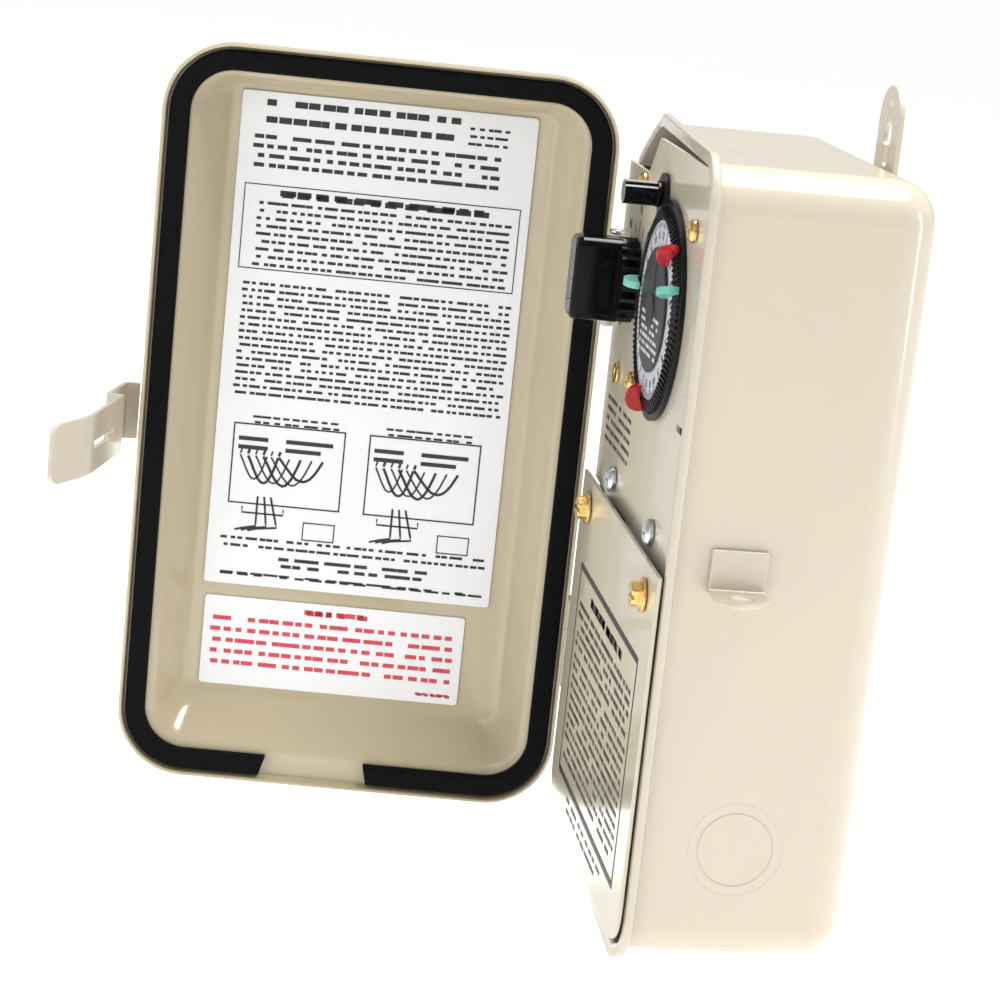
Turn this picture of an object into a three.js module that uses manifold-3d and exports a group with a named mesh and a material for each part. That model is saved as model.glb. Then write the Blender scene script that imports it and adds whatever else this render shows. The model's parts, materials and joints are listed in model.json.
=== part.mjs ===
// Wall-mounted steel enclosure with a 24-hour dial timer and a freeze thermostat, door open.
// Millimetres. The origin is the centre of the case's back face: +X to the right as seen
// from the front, +Y into the wall, +Z up. The front of the case faces -Y.
import * as THREE from "three";
import { mergeVertices } from "three/addons/utils/BufferGeometryUtils.js";
import Module from "manifold-3d";

const wasm = await Module();
wasm.setup();

// ---------- driving dimensions ----------
const CASE_WIDTH = 134;
const CASE_HEIGHT = 232;
const CASE_DEPTH = 67.2; // to the front edge of the right-hand lip
const SHEET = 1.2;
const CORNER_RADIUS = 13;
const REAR_RADIUS = 12;
const LIP = 3; // how far the rain lip stands out from the walls
const LIP_DEPTH = 3.4;
const LEFT_SET_BACK = 3.4; // the hinge side of the lip lies behind the free side
const TOP_LEFT_RELIEF = 5.5; // further set-back at the top left corner
const BOTTOM_LIP_OUT = 1.8; // the bottom lip stands forward
const FIT = 0.3; // gap between pieces that touch
const PLAY = 0.4; // radial gap round a turning piece

const PLATE_RECESS = 1.8; // mechanism plate behind the right-hand lip
const COVER_PROUD = 2.0; // lower cover in front of the right-hand lip
const PLATE_SHEET = 1.2;
const PLATE_NOTCH = { left: 45, tall: 12.2 }; // cut-away top left corner
const PLATE_STEP_Z = CASE_HEIGHT / 2 - 77; // below this the plate's right edge is folded back
const PLATE_FOLD = { deep: 8 };
const SPLIT_Z = 0; // top edge of the lower cover
const COVER_HALF_WIDTH = CASE_WIDTH / 2 + 1.5;
const COVER_BOTTOM_GAP = 3.5;
const COVER_RADIUS = 12;
const RAIL_LAP = 2.4; // the plate reaches this far behind the cover

const HINGE = { out: 9, back: 1.2, barrel: 2.5, pin: 1.4, length: 30, z: CASE_HEIGHT / 2 - 54 };
const DOOR_OPEN_DEG = 96.3; // how far the door stands open at rest
const DOOR_SIDE = 7.2; // door rim beyond the case wall, left and right
const DOOR_TOP = 9.4;
const DOOR_BOTTOM = 6.7;
const DOOR_RADIUS = 23;
const DOOR_CLEAR = 0.4; // closed gasket face in front of the cover
const DOOR_DEPTH = 18.5; // gasket face to the inside of the door panel
const DOOR_RIM = 1.2;
const GASKET = { inset: 2.2, width: 6.6, thick: 3.7, gapLeft: -12, gapRight: 24 };
const PAN_SLOPE = 12; // sideways run of the door's drawn wall

const STRAP = { thick: 1.4, top: 7.4, bottom: -11.8, slotZ: -2.9, slotTall: 2.6 };
const TAB = { thick: 1.4, width: 16.6, y: -46.3, reach: 15.6, hole: 6.5, holeAt: 8.4, leg: 11.6 };

const DIAL_X = 11.5;
const DIAL_Z = CASE_HEIGHT / 2 - 49.2; // the controls hang from the top wall
const BEZEL_RADIUS = 32.8;
const BEZEL_THICK = 1.2;
const RING_RADIUS = 30.4;
const RING_FRONT_RADIUS = 27.2;
const RING_DEPTH = 2.2;
const FACE_RADIUS = 26.6;
const HUB_RADIUS = 18.6;
const ARBOR_RADIUS = 3;
const TRIPPER = { head: 4.1, thick: 2.2, tip: 7.8, at: 27.6, shank: 3 };
const TRIPPERS = [
  { name: "tripper_red_upper", angle: 44, color: 0xc4121c },
  { name: "tripper_green_right", angle: 20, color: 0x6fb8a6 },
  { name: "tripper_green_left", angle: 172, color: 0x6fb8a6 },
  { name: "tripper_red_lower", angle: 262, color: 0xc4121c },
];

const TIMER_HALF = 26;
const TIMER_DEPTH = 30;
const TIMER_WALL = 1.6;
const TIMER_SCREW = { x: 34, z: 28.5 };
const GEAR = { module: 0.6, wide: 3, dial: 40, pinion: 10, wheel: 26 };
const GEAR_GAP = 0.12; // extra centre distance

const THERMO = { skirt: 13.4, skirtDeep: 5.8, bar: 26.2, barWide: 13, deep: 20.2, shaft: 3 };
const THERMO_GAP = 5.3; // between the bezel and the thermostat knob
const THERMO_X = DIAL_X - BEZEL_RADIUS - THERMO_GAP - THERMO.skirt;
const THERMO_Z = DIAL_Z + 0.7;
const SELECTOR_X = -4;
const SELECTOR = { skirt: 3.9, tall: 7.4, deep: 13, shaft: 1.6 };
const SELECTOR_WIDEST = Math.max(SELECTOR.skirt, SELECTOR.tall / 2);
const SELECTOR_REACH = TRIPPER.at + TRIPPER.head + PLAY + SELECTOR_WIDEST; // clear of the trippers
const SELECTOR_Z = DIAL_Z + Math.sqrt(SELECTOR_REACH ** 2 - (DIAL_X - SELECTOR_X) ** 2);

const EAR = { width: 22.4, thick: 1.5, top: CASE_HEIGHT / 2 + 21.8, bottom: CASE_HEIGHT / 2 - 32 };
const KNOCKOUT = { inner: 22.2, outer: 28.2, gap: 0.35 };
const KNOCKOUT_SIDE = { y: -37, z: 36.2 - CASE_HEIGHT / 2 };
const KNOCKOUT_BOTTOM = { x: 22, y: -34 };

const PAN_SCREW = { x: 34, z: 4.6 };
const HEX_SCREW = { x: 52, z: -9.5 };
const GROUND_PLATE = { x: -38, z: CASE_HEIGHT / 2 - 17.5 };
const EYELET = { x: -49, z: CASE_HEIGHT / 2 - 80 };
const GEAR_CLEAR = 0.88; // between the idler's teeth and the housing wall
const BULB = { x: -40, y: -12, radius: 4, low: 16, high: 46 }; // heights above the bottom wall
const LABEL_THICK = 0.4;

// ---------- derived values ----------
const halfW = CASE_WIDTH / 2;
const halfH = CASE_HEIGHT / 2;
const lipFront = -CASE_DEPTH;
const plateFront = lipFront + PLATE_RECESS;
const plateBack = plateFront + PLATE_SHEET;
const coverFront = lipFront - COVER_PROUD;
const coverBack = coverFront + PLATE_SHEET;
const gasketFace = coverFront - DOOR_CLEAR;
const hingeX = -halfW - HINGE.out;
const hingeY = lipFront + HINGE.back;
const doorLeft = -halfW - DOOR_SIDE;
const doorRight = halfW + DOOR_SIDE;
const doorTop = halfH + DOOR_TOP;
const doorBottom = -halfH - DOOR_BOTTOM;
const flangeInner = gasketFace - GASKET.thick - FIT;
const panelInner = gasketFace - DOOR_DEPTH;
const timerFront = plateBack + FIT;
const timerRear = timerFront + TIMER_DEPTH;

// ---------- colours ----------
const BEIGE = { color: 0xcbc3b2, roughness: 0.35, metalness: 0.1 };
const BLACK = { color: 0x0c0c0d, roughness: 0.3, metalness: 0 };
const FOAM = { color: 0x17181a, roughness: 0.95, metalness: 0 };
const ZINC = { color: 0xc9ccd2, roughness: 0.25, metalness: 1 };
const GOLD = { color: 0xc8a04a, roughness: 0.3, metalness: 1 };
const WHITE = { color: 0xf2f3f6, roughness: 0.6, metalness: 0 };
const GREY = { color: 0x6d6f75, roughness: 0.5, metalness: 0 };
const COPPER = { color: 0xb26a3c, roughness: 0.35, metalness: 1 };

// ---------- solids ----------
const solid = (geometry) => {
  const flat = geometry.index ? geometry.toNonIndexed() : geometry.clone();
  flat.deleteAttribute("normal");
  flat.deleteAttribute("uv");
  const merged = mergeVertices(flat, 1e-4);
  const vertProperties = new Float32Array(merged.attributes.position.array);
  const triVerts = new Uint32Array(merged.index.array);
  return new wasm.Manifold(new wasm.Mesh({ numProp: 3, vertProperties, triVerts }));
};

const geometryOf = (body) => {
  const mesh = body.getMesh();
  const position = new THREE.BufferAttribute(new Float32Array(mesh.vertProperties), 3);
  const geometry = new THREE.BufferGeometry().setAttribute("position", position);
  geometry.setIndex(new THREE.BufferAttribute(new Uint32Array(mesh.triVerts), 1));
  geometry.computeVertexNormals();
  return geometry;
};

const piece = (name, body, finish, group) => {
  const mesh = new THREE.Mesh(geometryOf(body), new THREE.MeshStandardMaterial(finish));
  mesh.name = name;
  group.add(mesh);
  return mesh;
};

const box = (x0, x1, y0, y1, z0, z1) => {
  const geometry = new THREE.BoxGeometry(x1 - x0, y1 - y0, z1 - z0);
  geometry.translate((x0 + x1) / 2, (y0 + y1) / 2, (z0 + z1) / 2);
  return solid(geometry);
};

// A cylinder along Y between y0 and y1.
const rodY = (x, z, radius, y0, y1, sides = 24) => {
  const geometry = new THREE.CylinderGeometry(radius, radius, y1 - y0, sides);
  geometry.translate(x, (y0 + y1) / 2, z);
  return solid(geometry);
};

// A cylinder along Z between z0 and z1.
const rodZ = (x, y, radius, z0, z1, sides = 20) => {
  const geometry = new THREE.CylinderGeometry(radius, radius, z1 - z0, sides);
  geometry.rotateX(Math.PI / 2);
  geometry.translate(x, y, (z0 + z1) / 2);
  return solid(geometry);
};

// A cylinder along X between x0 and x1.
const rodX = (y, z, radius, x0, x1, sides = 32) => {
  const geometry = new THREE.CylinderGeometry(radius, radius, x1 - x0, sides);
  geometry.rotateZ(Math.PI / 2);
  geometry.translate((x0 + x1) / 2, y, z);
  return solid(geometry);
};

// A front-view outline (x, z) made into a sheet from yBack forwards.
const sheetFront = (shape, yBack, thick, curveSegments = 6) => {
  const options = { depth: thick, bevelEnabled: false, curveSegments };
  const geometry = new THREE.ExtrudeGeometry(shape, options);
  geometry.rotateX(Math.PI / 2);
  geometry.translate(0, yBack, 0);
  return solid(geometry);
};

// A plan-view outline (x, y) raised from z0 to z1.
const raise = (shape, z0, z1) => {
  const options = { depth: z1 - z0, bevelEnabled: false, curveSegments: 6 };
  const geometry = new THREE.ExtrudeGeometry(shape, options);
  geometry.translate(0, 0, z0);
  return solid(geometry);
};

// A side-view outline (y, z) carried from x0 to x1.
const carry = (shape, x0, x1) => {
  const options = { depth: x1 - x0, bevelEnabled: false, curveSegments: 6 };
  const geometry = new THREE.ExtrudeGeometry(shape, options);
  const toSide = new THREE.Matrix4().makeBasis(
    new THREE.Vector3(0, 1, 0),
    new THREE.Vector3(0, 0, 1),
    new THREE.Vector3(1, 0, 0),
  );
  geometry.applyMatrix4(toSide);
  geometry.translate(x0, 0, 0);
  return solid(geometry);
};

const polygon = (points) => new THREE.Shape(points.map(([a, b]) => new THREE.Vector2(a, b)));

const roundRect = (x0, x1, z0, z1, radius) => {
  const shape = new THREE.Shape();
  const r = Math.max(radius, 0.2);
  shape.moveTo(x0 + r, z0);
  shape.lineTo(x1 - r, z0);
  shape.absarc(x1 - r, z0 + r, r, -Math.PI / 2, 0);
  shape.lineTo(x1, z1 - r);
  shape.absarc(x1 - r, z1 - r, r, 0, Math.PI / 2);
  shape.lineTo(x0 + r, z1);
  shape.absarc(x0 + r, z1 - r, r, Math.PI / 2, Math.PI);
  shape.lineTo(x0, z0 + r);
  shape.absarc(x0 + r, z0 + r, r, Math.PI, Math.PI * 1.5);
  return shape;
};

// Corner points of a rounded rectangle, the same count whatever its size.
const ringPoints = (x0, x1, z0, z1, radius, perCorner) => {
  const centres = [
    [x1 - radius, z0 + radius, -90],
    [x1 - radius, z1 - radius, 0],
    [x0 + radius, z1 - radius, 90],
    [x0 + radius, z0 + radius, 180],
  ];
  const points = [];
  for (const [cx, cz, start] of centres) {
    for (let i = 0; i <= perCorner; i += 1) {
      const angle = THREE.MathUtils.degToRad(start + (90 * i) / perCorner);
      points.push([cx + radius * Math.cos(angle), cz + radius * Math.sin(angle)]);
    }
  }
  return points;
};

// A closed skin through rounded-rectangle rings ordered from front (-Y) to back.
const loft = (rings, bend = (x, y) => y) => {
  const perCorner = 5;
  const loops = rings.map(({ x0, x1, z0, z1, radius, y }) =>
    ringPoints(x0, x1, z0, z1, Math.max(radius, 0.3), perCorner).map(
      ([x, z]) => new THREE.Vector3(x, bend(x, y, z), z),
    ),
  );
  const count = loops[0].length;
  const middle = (loop) =>
    loop.reduce((sum, v) => sum.add(v), new THREE.Vector3()).divideScalar(count);
  const corners = [];
  const face = (a, b, c) => corners.push(a, b, c);
  const front = middle(loops[0]);
  const back = middle(loops[loops.length - 1]);
  for (let i = 0; i < count; i += 1) {
    const next = (i + 1) % count;
    face(front, loops[0][i], loops[0][next]);
    face(back, loops[loops.length - 1][next], loops[loops.length - 1][i]);
    for (let k = 0; k + 1 < loops.length; k += 1) {
      face(loops[k][i], loops[k + 1][i], loops[k + 1][next]);
      face(loops[k][i], loops[k + 1][next], loops[k][next]);
    }
  }
  return solid(new THREE.BufferGeometry().setFromPoints(corners));
};

// A bent strip of sheet: a polyline in plan or side view given a thickness to its left.
const stripShape = (points, thick) => {
  const path = points.map(([a, b]) => new THREE.Vector2(a, b));
  const offset = path.map((point, i) => {
    const before = i > 0 ? point.clone().sub(path[i - 1]).normalize() : null;
    const after = i + 1 < path.length ? path[i + 1].clone().sub(point).normalize() : null;
    const a = before || after;
    const b = after || before;
    const normalA = new THREE.Vector2(-a.y, a.x);
    const normalB = new THREE.Vector2(-b.y, b.x);
    const mitre = normalA.add(normalB).normalize();
    return point.clone().addScaledVector(mitre, thick / mitre.dot(normalB));
  });
  return new THREE.Shape([...path, ...offset.reverse()]);
};

// A gear outline with a tooth centred at toothAt degrees, in the front view.
const gearShape = (teeth, toothAt) => {
  const pitch = (teeth * GEAR.module) / 2;
  const tip = pitch + 0.85 * GEAR.module;
  const root = pitch - 1.2 * GEAR.module;
  const steps = [
    [root, -0.3],
    [tip, -0.1],
    [tip, 0.1],
    [root, 0.3],
  ];
  const points = [];
  for (let i = 0; i < teeth; i += 1) {
    for (const [radius, part] of steps) {
      const angle = THREE.MathUtils.degToRad(toothAt + ((i + part) * 360) / teeth);
      points.push([radius * Math.cos(angle), radius * Math.sin(angle)]);
    }
  }
  return polygon(points);
};

const gearDisc = (teeth, toothAt, x, z, yBack, thick) =>
  sheetFront(gearShape(teeth, toothAt), yBack, thick).translate([x, 0, z]);


// ---------- the case ----------
// How far back the rim lies at (x, z): level on the right, relieved to the top left.
const rimSetBack = (x, z) => {
  const across = THREE.MathUtils.clamp((halfW - x) / CASE_WIDTH, 0, 1);
  const high = THREE.MathUtils.clamp((z - halfH * 0.86) / (halfH * 0.14), 0, 1);
  const low = THREE.MathUtils.clamp((-z - halfH + LIP) / (2 * LIP), 0, 1);
  return LEFT_SET_BACK * across + TOP_LEFT_RELIEF * across * high - BOTTOM_LIP_OUT * low;
};

const caseSkin = (inset, rimOut, frontY, backY) => {
  const rings = [];
  const ring = (grow, y) =>
    rings.push({
      x0: -halfW - grow,
      x1: halfW + grow,
      z0: -halfH - grow,
      z1: halfH + grow,
      radius: CORNER_RADIUS + grow,
      y,
    });
  ring(rimOut, frontY);
  if (rimOut > 0) {
    ring(rimOut, frontY + LIP_DEPTH - 1.2);
    ring(0, frontY + LIP_DEPTH);
  }
  const bend = REAR_RADIUS - inset;
  for (const degrees of [0, 22.5, 45, 67.5, 90]) {
    const angle = THREE.MathUtils.degToRad(degrees);
    ring(-inset - bend * (1 - Math.cos(angle)), backY - bend * (1 - Math.sin(angle)));
  }
  return loft(rings, (x, y, z) => (rimOut > 0 && y < frontY + LIP_DEPTH + 1 ? y + rimSetBack(x, z) : y));
};

const groove = (place, radius) => {
  const wide = KNOCKOUT.gap;
  return place(radius + wide).subtract(place(radius - wide));
};

const buildCase = () => {
  let body = caseSkin(0, LIP, lipFront, 0);
  const hollow = loft([
    {
      x0: -halfW + SHEET,
      x1: halfW - SHEET,
      z0: -halfH + SHEET,
      z1: halfH - SHEET,
      radius: CORNER_RADIUS - SHEET,
      y: lipFront - 10,
    },
    ...[0, 22.5, 45, 67.5, 90].map((degrees) => {
      const angle = THREE.MathUtils.degToRad(degrees);
      const bend = REAR_RADIUS - SHEET;
      const inset = SHEET + bend * (1 - Math.cos(angle));
      return {
        x0: -halfW + inset,
        x1: halfW - inset,
        z0: -halfH + inset,
        z1: halfH - inset,
        radius: CORNER_RADIUS - inset,
        y: -SHEET - bend * (1 - Math.sin(angle)),
      };
    }),
  ]);
  body = body.subtract(hollow);
  const half = EAR.width / 2;
  const channelBack = -EAR.thick - FIT;
  const boss = box(-half - 2, half + 2, channelBack - SHEET, -0.6, EAR.bottom - 2, halfH - 6);
  const skin = caseSkin(0, 0, lipFront, 0);
  body = body.add(boss.intersect(skin));
  body = body.subtract(box(-half - FIT, half + FIT, channelBack, 1, EAR.bottom - FIT, halfH + 30));
  for (const side of [-1, 1]) {
    body = body.subtract(rodY(side * 35, 24 - halfH, 3, -4, 2, 16));
  }
  const { y, z } = KNOCKOUT_SIDE;
  const deep = SHEET * 0.45;
  for (const radius of [KNOCKOUT.inner / 2, KNOCKOUT.outer / 2]) {
    const side = (r) => rodX(y, z, r, halfW - deep, halfW + 1, 28);
    body = body.subtract(groove(side, radius));
    const below = (r) => rodZ(KNOCKOUT_BOTTOM.x, KNOCKOUT_BOTTOM.y, r, -halfH - 1, -halfH + deep, 28);
    body = body.subtract(groove(below, radius));
  }
  return body;
};

const buildEar = () => {
  const half = EAR.width / 2;
  const ear = sheetFront(roundRect(-half, half, EAR.bottom, EAR.top, half - 0.8), 0, EAR.thick, 8);
  const wide = rodY(0, EAR.top - 14.3, 4.2, -4, 2);
  const narrow = sheetFront(roundRect(-2.4, 2.4, EAR.top - 24.1, EAR.top - 4.3, 2.3), 2, 6);
  return ear.subtract(wide).subtract(narrow);
};

const buildTab = () => {
  const x0 = halfW + FIT;
  const half = TAB.width / 2;
  const top = STRAP.slotZ + TAB.thick / 2;
  const foot = box(x0, x0 + TAB.thick, TAB.y - half, TAB.y + half, top - TAB.thick, top + TAB.leg);
  const tip = x0 + TAB.thick + TAB.reach;
  const outline = polygon([
    [x0, TAB.y - half],
    [tip - 7, TAB.y - half],
    [tip - 1.5, TAB.y - half + 3.5],
    [tip, TAB.y - 2.5],
    [tip - 2.5, TAB.y + half - 4.5],
    [tip - 8, TAB.y + half],
    [x0, TAB.y + half],
  ]);
  const hole = rodZ(x0 + TAB.holeAt, TAB.y, TAB.hole / 2, top - 5, top + 5, 20);
  return foot.add(raise(outline, top - TAB.thick, top)).subtract(hole);
};

// ---------- panels inside ----------
const plateOutline = () => {
  const left = -halfW - 1;
  const right = halfW - SHEET - 3.3;
  const top = halfH - SHEET - 0.6;
  const { left: cutX, tall } = PLATE_NOTCH;
  const radius = CORNER_RADIUS - SHEET;
  const shape = new THREE.Shape();
  shape.moveTo(left, SPLIT_Z - RAIL_LAP);
  shape.lineTo(right, SPLIT_Z - RAIL_LAP);
  shape.lineTo(right, PLATE_STEP_Z);
  shape.lineTo(right - 12, PLATE_STEP_Z);
  shape.lineTo(right - 12, PLATE_STEP_Z + 2);
  shape.lineTo(right, PLATE_STEP_Z + 2);
  shape.lineTo(right, top - radius);
  shape.absarc(right - radius, top - radius, radius, 0, Math.PI / 2);
  shape.lineTo(left + cutX + 1, top);
  shape.lineTo(left + cutX - tall, top - tall);
  shape.lineTo(left, top - tall);
  return shape;
};

const buildPlate = () => {
  const right = halfW - SHEET - 3.3;
  let plate = sheetFront(plateOutline(), plateBack, PLATE_SHEET);
  const foldTop = PLATE_STEP_Z;
  const fold = box(
    right - PLATE_SHEET,
    right,
    plateBack - 0.6,
    plateBack + PLATE_FOLD.deep,
    SPLIT_Z - RAIL_LAP,
    foldTop,
  );
  plate = plate.add(fold);
  const through = (x, z, radius, sides = 16) => {
    plate = plate.subtract(rodY(x, z, radius, plateFront - 2, plateBack + 2, sides));
  };
  through(DIAL_X, DIAL_Z, ARBOR_RADIUS + 2, 24);
  through(THERMO_X, THERMO_Z, THERMO.shaft + PLAY, 20);
  through(SELECTOR_X, SELECTOR_Z, SELECTOR.shaft + PLAY, 16);
  through(GROUND_PLATE.x, GROUND_PLATE.z, 2.2);
  through(EYELET.x, EYELET.z, 2.2);
  for (const side of [-1, 1]) {
    through(side * PAN_SCREW.x, PAN_SCREW.z, 1.5 + FIT);
    through(DIAL_X + side * TIMER_SCREW.x, DIAL_Z + side * TIMER_SCREW.z, 1.5 + FIT);
  }
  return plate;
};

const buildRail = () => {
  const front = plateBack + FIT;
  const wall = halfW - SHEET - FIT;
  const path = [
    [-wall, -14],
    [-wall, -20],
    [-57, -20],
    [-57, front],
    [57, front],
    [57, -20],
    [wall, -20],
    [wall, -14],
  ];
  const tall = 24;
  let rail = raise(stripShape(path, PLATE_SHEET), -15, -15 + tall);
  for (const side of [-1, 1]) {
    rail = rail.subtract(rodY(side * PAN_SCREW.x, PAN_SCREW.z, 1.5 + FIT, -70, -50, 12));
    rail = rail.subtract(rodY(side * HEX_SCREW.x, HEX_SCREW.z, 2 + FIT, -70, -50, 12));
  }
  return rail;
};

const buildUpperBracket = (side, low, high) => {
  const front = plateBack + FIT;
  const wall = halfW - SHEET - FIT;
  const path = [
    [side * 30, front],
    [side * wall, front],
    [side * wall, front + 22],
  ];
  const bracket = raise(stripShape(path, side * PLATE_SHEET), low, high);
  return bracket.subtract(rodY(GROUND_PLATE.x, GROUND_PLATE.z, 2.2, -70, -50, 12));
};

const buildCover = () => {
  const bottom = -halfH + COVER_BOTTOM_GAP;
  const shape = new THREE.Shape();
  const left = -halfW - 1;
  const right = COVER_HALF_WIDTH;
  const r = COVER_RADIUS;
  shape.moveTo(left, SPLIT_Z);
  shape.lineTo(left, bottom + r);
  shape.absarc(left + r, bottom + r, r, Math.PI, Math.PI * 1.5);
  shape.lineTo(right - r, bottom);
  shape.absarc(right - r, bottom + r, r, -Math.PI / 2, 0);
  shape.lineTo(right, SPLIT_Z);
  let cover = sheetFront(shape, coverBack, PLATE_SHEET);
  for (const side of [-1, 1]) {
    const { x, z } = HEX_SCREW;
    cover = cover.add(rodY(side * x, z, 4.6, coverBack - 0.6, plateBack, 20));
    cover = cover.subtract(rodY(side * x, z, 2 + FIT, -80, -50, 16));
  }
  return cover;
};

// ---------- screws ----------
const hexScrew = (x, z, faceY, length) => {
  const washer = rodY(x, z, 5.2, faceY - FIT - 1, faceY - FIT, 28);
  const hexagon = rodY(x, z, 3.9, faceY - FIT - 4, faceY - FIT - 0.8, 6);
  const slot = box(x - 5, x + 5, faceY - 5, faceY - FIT - 3.2, z - 0.5, z + 0.5);
  const shank = rodY(x, z, 2, faceY - FIT - 0.5, faceY + length, 12);
  return washer.add(hexagon).subtract(slot).add(shank);
};

const panScrew = (x, z, faceY, length, radius, shankRadius = 1.5) => {
  const y = faceY - FIT;
  const profile = [
    new THREE.Vector2(0, 0),
    new THREE.Vector2(radius, 0),
    new THREE.Vector2(radius * 0.96, radius * 0.28),
    new THREE.Vector2(radius * 0.7, radius * 0.52),
    new THREE.Vector2(0, radius * 0.62),
  ];
  const dome = new THREE.LatheGeometry(profile, 20);
  dome.rotateX(Math.PI);
  dome.translate(x, y, z);
  let head = solid(dome);
  const depth = y - radius * 0.34;
  const arm = radius * 0.55;
  head = head.subtract(box(x - arm, x + arm, y - 9, depth, z - 0.45, z + 0.45));
  head = head.subtract(box(x - 0.45, x + 0.45, y - 9, depth, z - arm, z + arm));
  return head.add(rodY(x, z, shankRadius, y - 0.4, faceY + length, 12));
};

const washerRing = (x, z, outer, inner, y0, y1, sides = 20) =>
  rodY(x, z, outer, y0, y1, sides).subtract(rodY(x, z, inner, y0 - 1, y1 + 1, sides));

// ---------- timer ----------
const bezelBack = plateFront - FIT;
const bezelFront = bezelBack - BEZEL_THICK;
const ringBack = plateFront - FIT - 0.5;
const ringFront = ringBack - RING_DEPTH;

// A solid of revolution about the dial's axis from (radius, depth) pairs.
const turnY = (x, z, profile, sides = 48) => {
  const points = profile.map(([radius, y]) => new THREE.Vector2(radius, y));
  const geometry = new THREE.LatheGeometry(points, sides);
  geometry.translate(x, 0, z);
  return solid(geometry);
};

const buildBezel = () => {
  const outline = new THREE.Shape();
  const [cx, cz] = [SELECTOR_X - DIAL_X, SELECTOR_Z - DIAL_Z];
  const lobe = 6.4;
  outline.absarc(0, 0, BEZEL_RADIUS, 0, Math.PI * 2);
  const disc = sheetFront(outline, bezelBack, BEZEL_THICK, 28);
  const ear = rodY(cx, cz, lobe, bezelFront, bezelBack, 20);
  const neck = box(-lobe, lobe, bezelFront, bezelBack, 0, Math.hypot(cx, cz)).rotate([
    0,
    THREE.MathUtils.radToDeg(Math.atan2(cx, cz)),
    0,
  ]);
  const bezel = disc.add(ear).add(neck).translate([DIAL_X, 0, DIAL_Z]);
  const pocket = rodY(DIAL_X, DIAL_Z, RING_RADIUS + PLAY, bezelFront - 5, bezelBack + 5, 56);
  const bore = rodY(SELECTOR_X, SELECTOR_Z, SELECTOR.shaft + PLAY, -80, -50, 16);
  return bezel.subtract(pocket).subtract(bore);
};

const ringProfile = (grow) => [
  [0, ringFront - grow],
  [RING_FRONT_RADIUS + grow, ringFront - grow],
  [RING_RADIUS + grow, ringFront + 1.2 - grow],
  [RING_RADIUS + grow, ringBack + grow],
  [0, ringBack + grow],
];

const buildRing = () => {
  const ring = turnY(DIAL_X, DIAL_Z, ringProfile(0), 64);
  const seat = rodY(DIAL_X, DIAL_Z, FACE_RADIUS + FIT, ringFront - 1, ringFront + 1.5, 48);
  return ring.subtract(seat).subtract(rodY(DIAL_X, DIAL_Z, ARBOR_RADIUS + FIT, -80, -50, 20));
};

const buildFace = () => {
  const y = ringFront + 1.5 - FIT;
  const disc = rodY(DIAL_X, DIAL_Z, FACE_RADIUS, y - 0.6, y, 48);
  return disc.subtract(rodY(DIAL_X, DIAL_Z, ARBOR_RADIUS + FIT, -80, -50, 20));
};

const buildHub = () => {
  const y = ringFront + 1.5 - FIT - 0.6 - FIT;
  const disc = rodY(DIAL_X, DIAL_Z, HUB_RADIUS, y - 0.8, y, 40);
  const pointer = box(DIAL_X - 1.6, DIAL_X + 1.6, y - 1.5, y - 0.4, DIAL_Z + 6, DIAL_Z + 17);
  const boss = rodY(DIAL_X, DIAL_Z, 5, y - 1.6, y - 0.4, 24);
  const arbor = rodY(DIAL_X, DIAL_Z, ARBOR_RADIUS, y - 0.5, timerFront + TIMER_WALL + 9, 20);
  return disc.add(pointer).add(boss).add(arbor);
};

// A flag on the dial's rim; the dial itself is cut out of it with a working gap.
const buildTripper = (degrees) => {
  const y = plateFront - TRIPPER.tip + TRIPPER.head;
  const half = TRIPPER.thick / 2;
  const outer = RING_RADIUS + 0.9;
  let flag = rodZ(TRIPPER.at, y, TRIPPER.head, -half, half, 18);
  flag = flag.add(box(outer - TRIPPER.shank, outer, y, bezelFront - FIT, -half, half));
  flag = flag.rotate([0, -degrees, 0]).translate([DIAL_X, 0, DIAL_Z]);
  const gap = turnY(DIAL_X, DIAL_Z, ringProfile(FIT).map(([r, d]) => [Math.max(0, r), d]), 64);
  const reach = BEZEL_RADIUS * 2;
  const ahead = box(DIAL_X - reach, DIAL_X + reach, -99, bezelFront - FIT, DIAL_Z - reach, DIAL_Z + reach);
  return flag.intersect(ahead).subtract(gap);
};

// Centre distances of the train: dial wheel, idler cluster, motor pinion.
const meshGap = (a, b) => ((a + b) * GEAR.module) / 2 + GEAR_GAP;
const idlerX = DIAL_X - meshGap(GEAR.dial, GEAR.pinion);
const idlerReach = (GEAR.wheel / 2 + 1) * GEAR.module;
const housingLeft = idlerX - idlerReach - GEAR_CLEAR - TIMER_WALL;
const housingBox = (grow) =>
  box(
    housingLeft + grow,
    DIAL_X + TIMER_HALF - grow,
    timerFront + (grow ? TIMER_WALL : 0),
    timerRear + (grow ? 5 : 0),
    DIAL_Z - TIMER_HALF + grow,
    DIAL_Z + TIMER_HALF - grow,
  );

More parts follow.
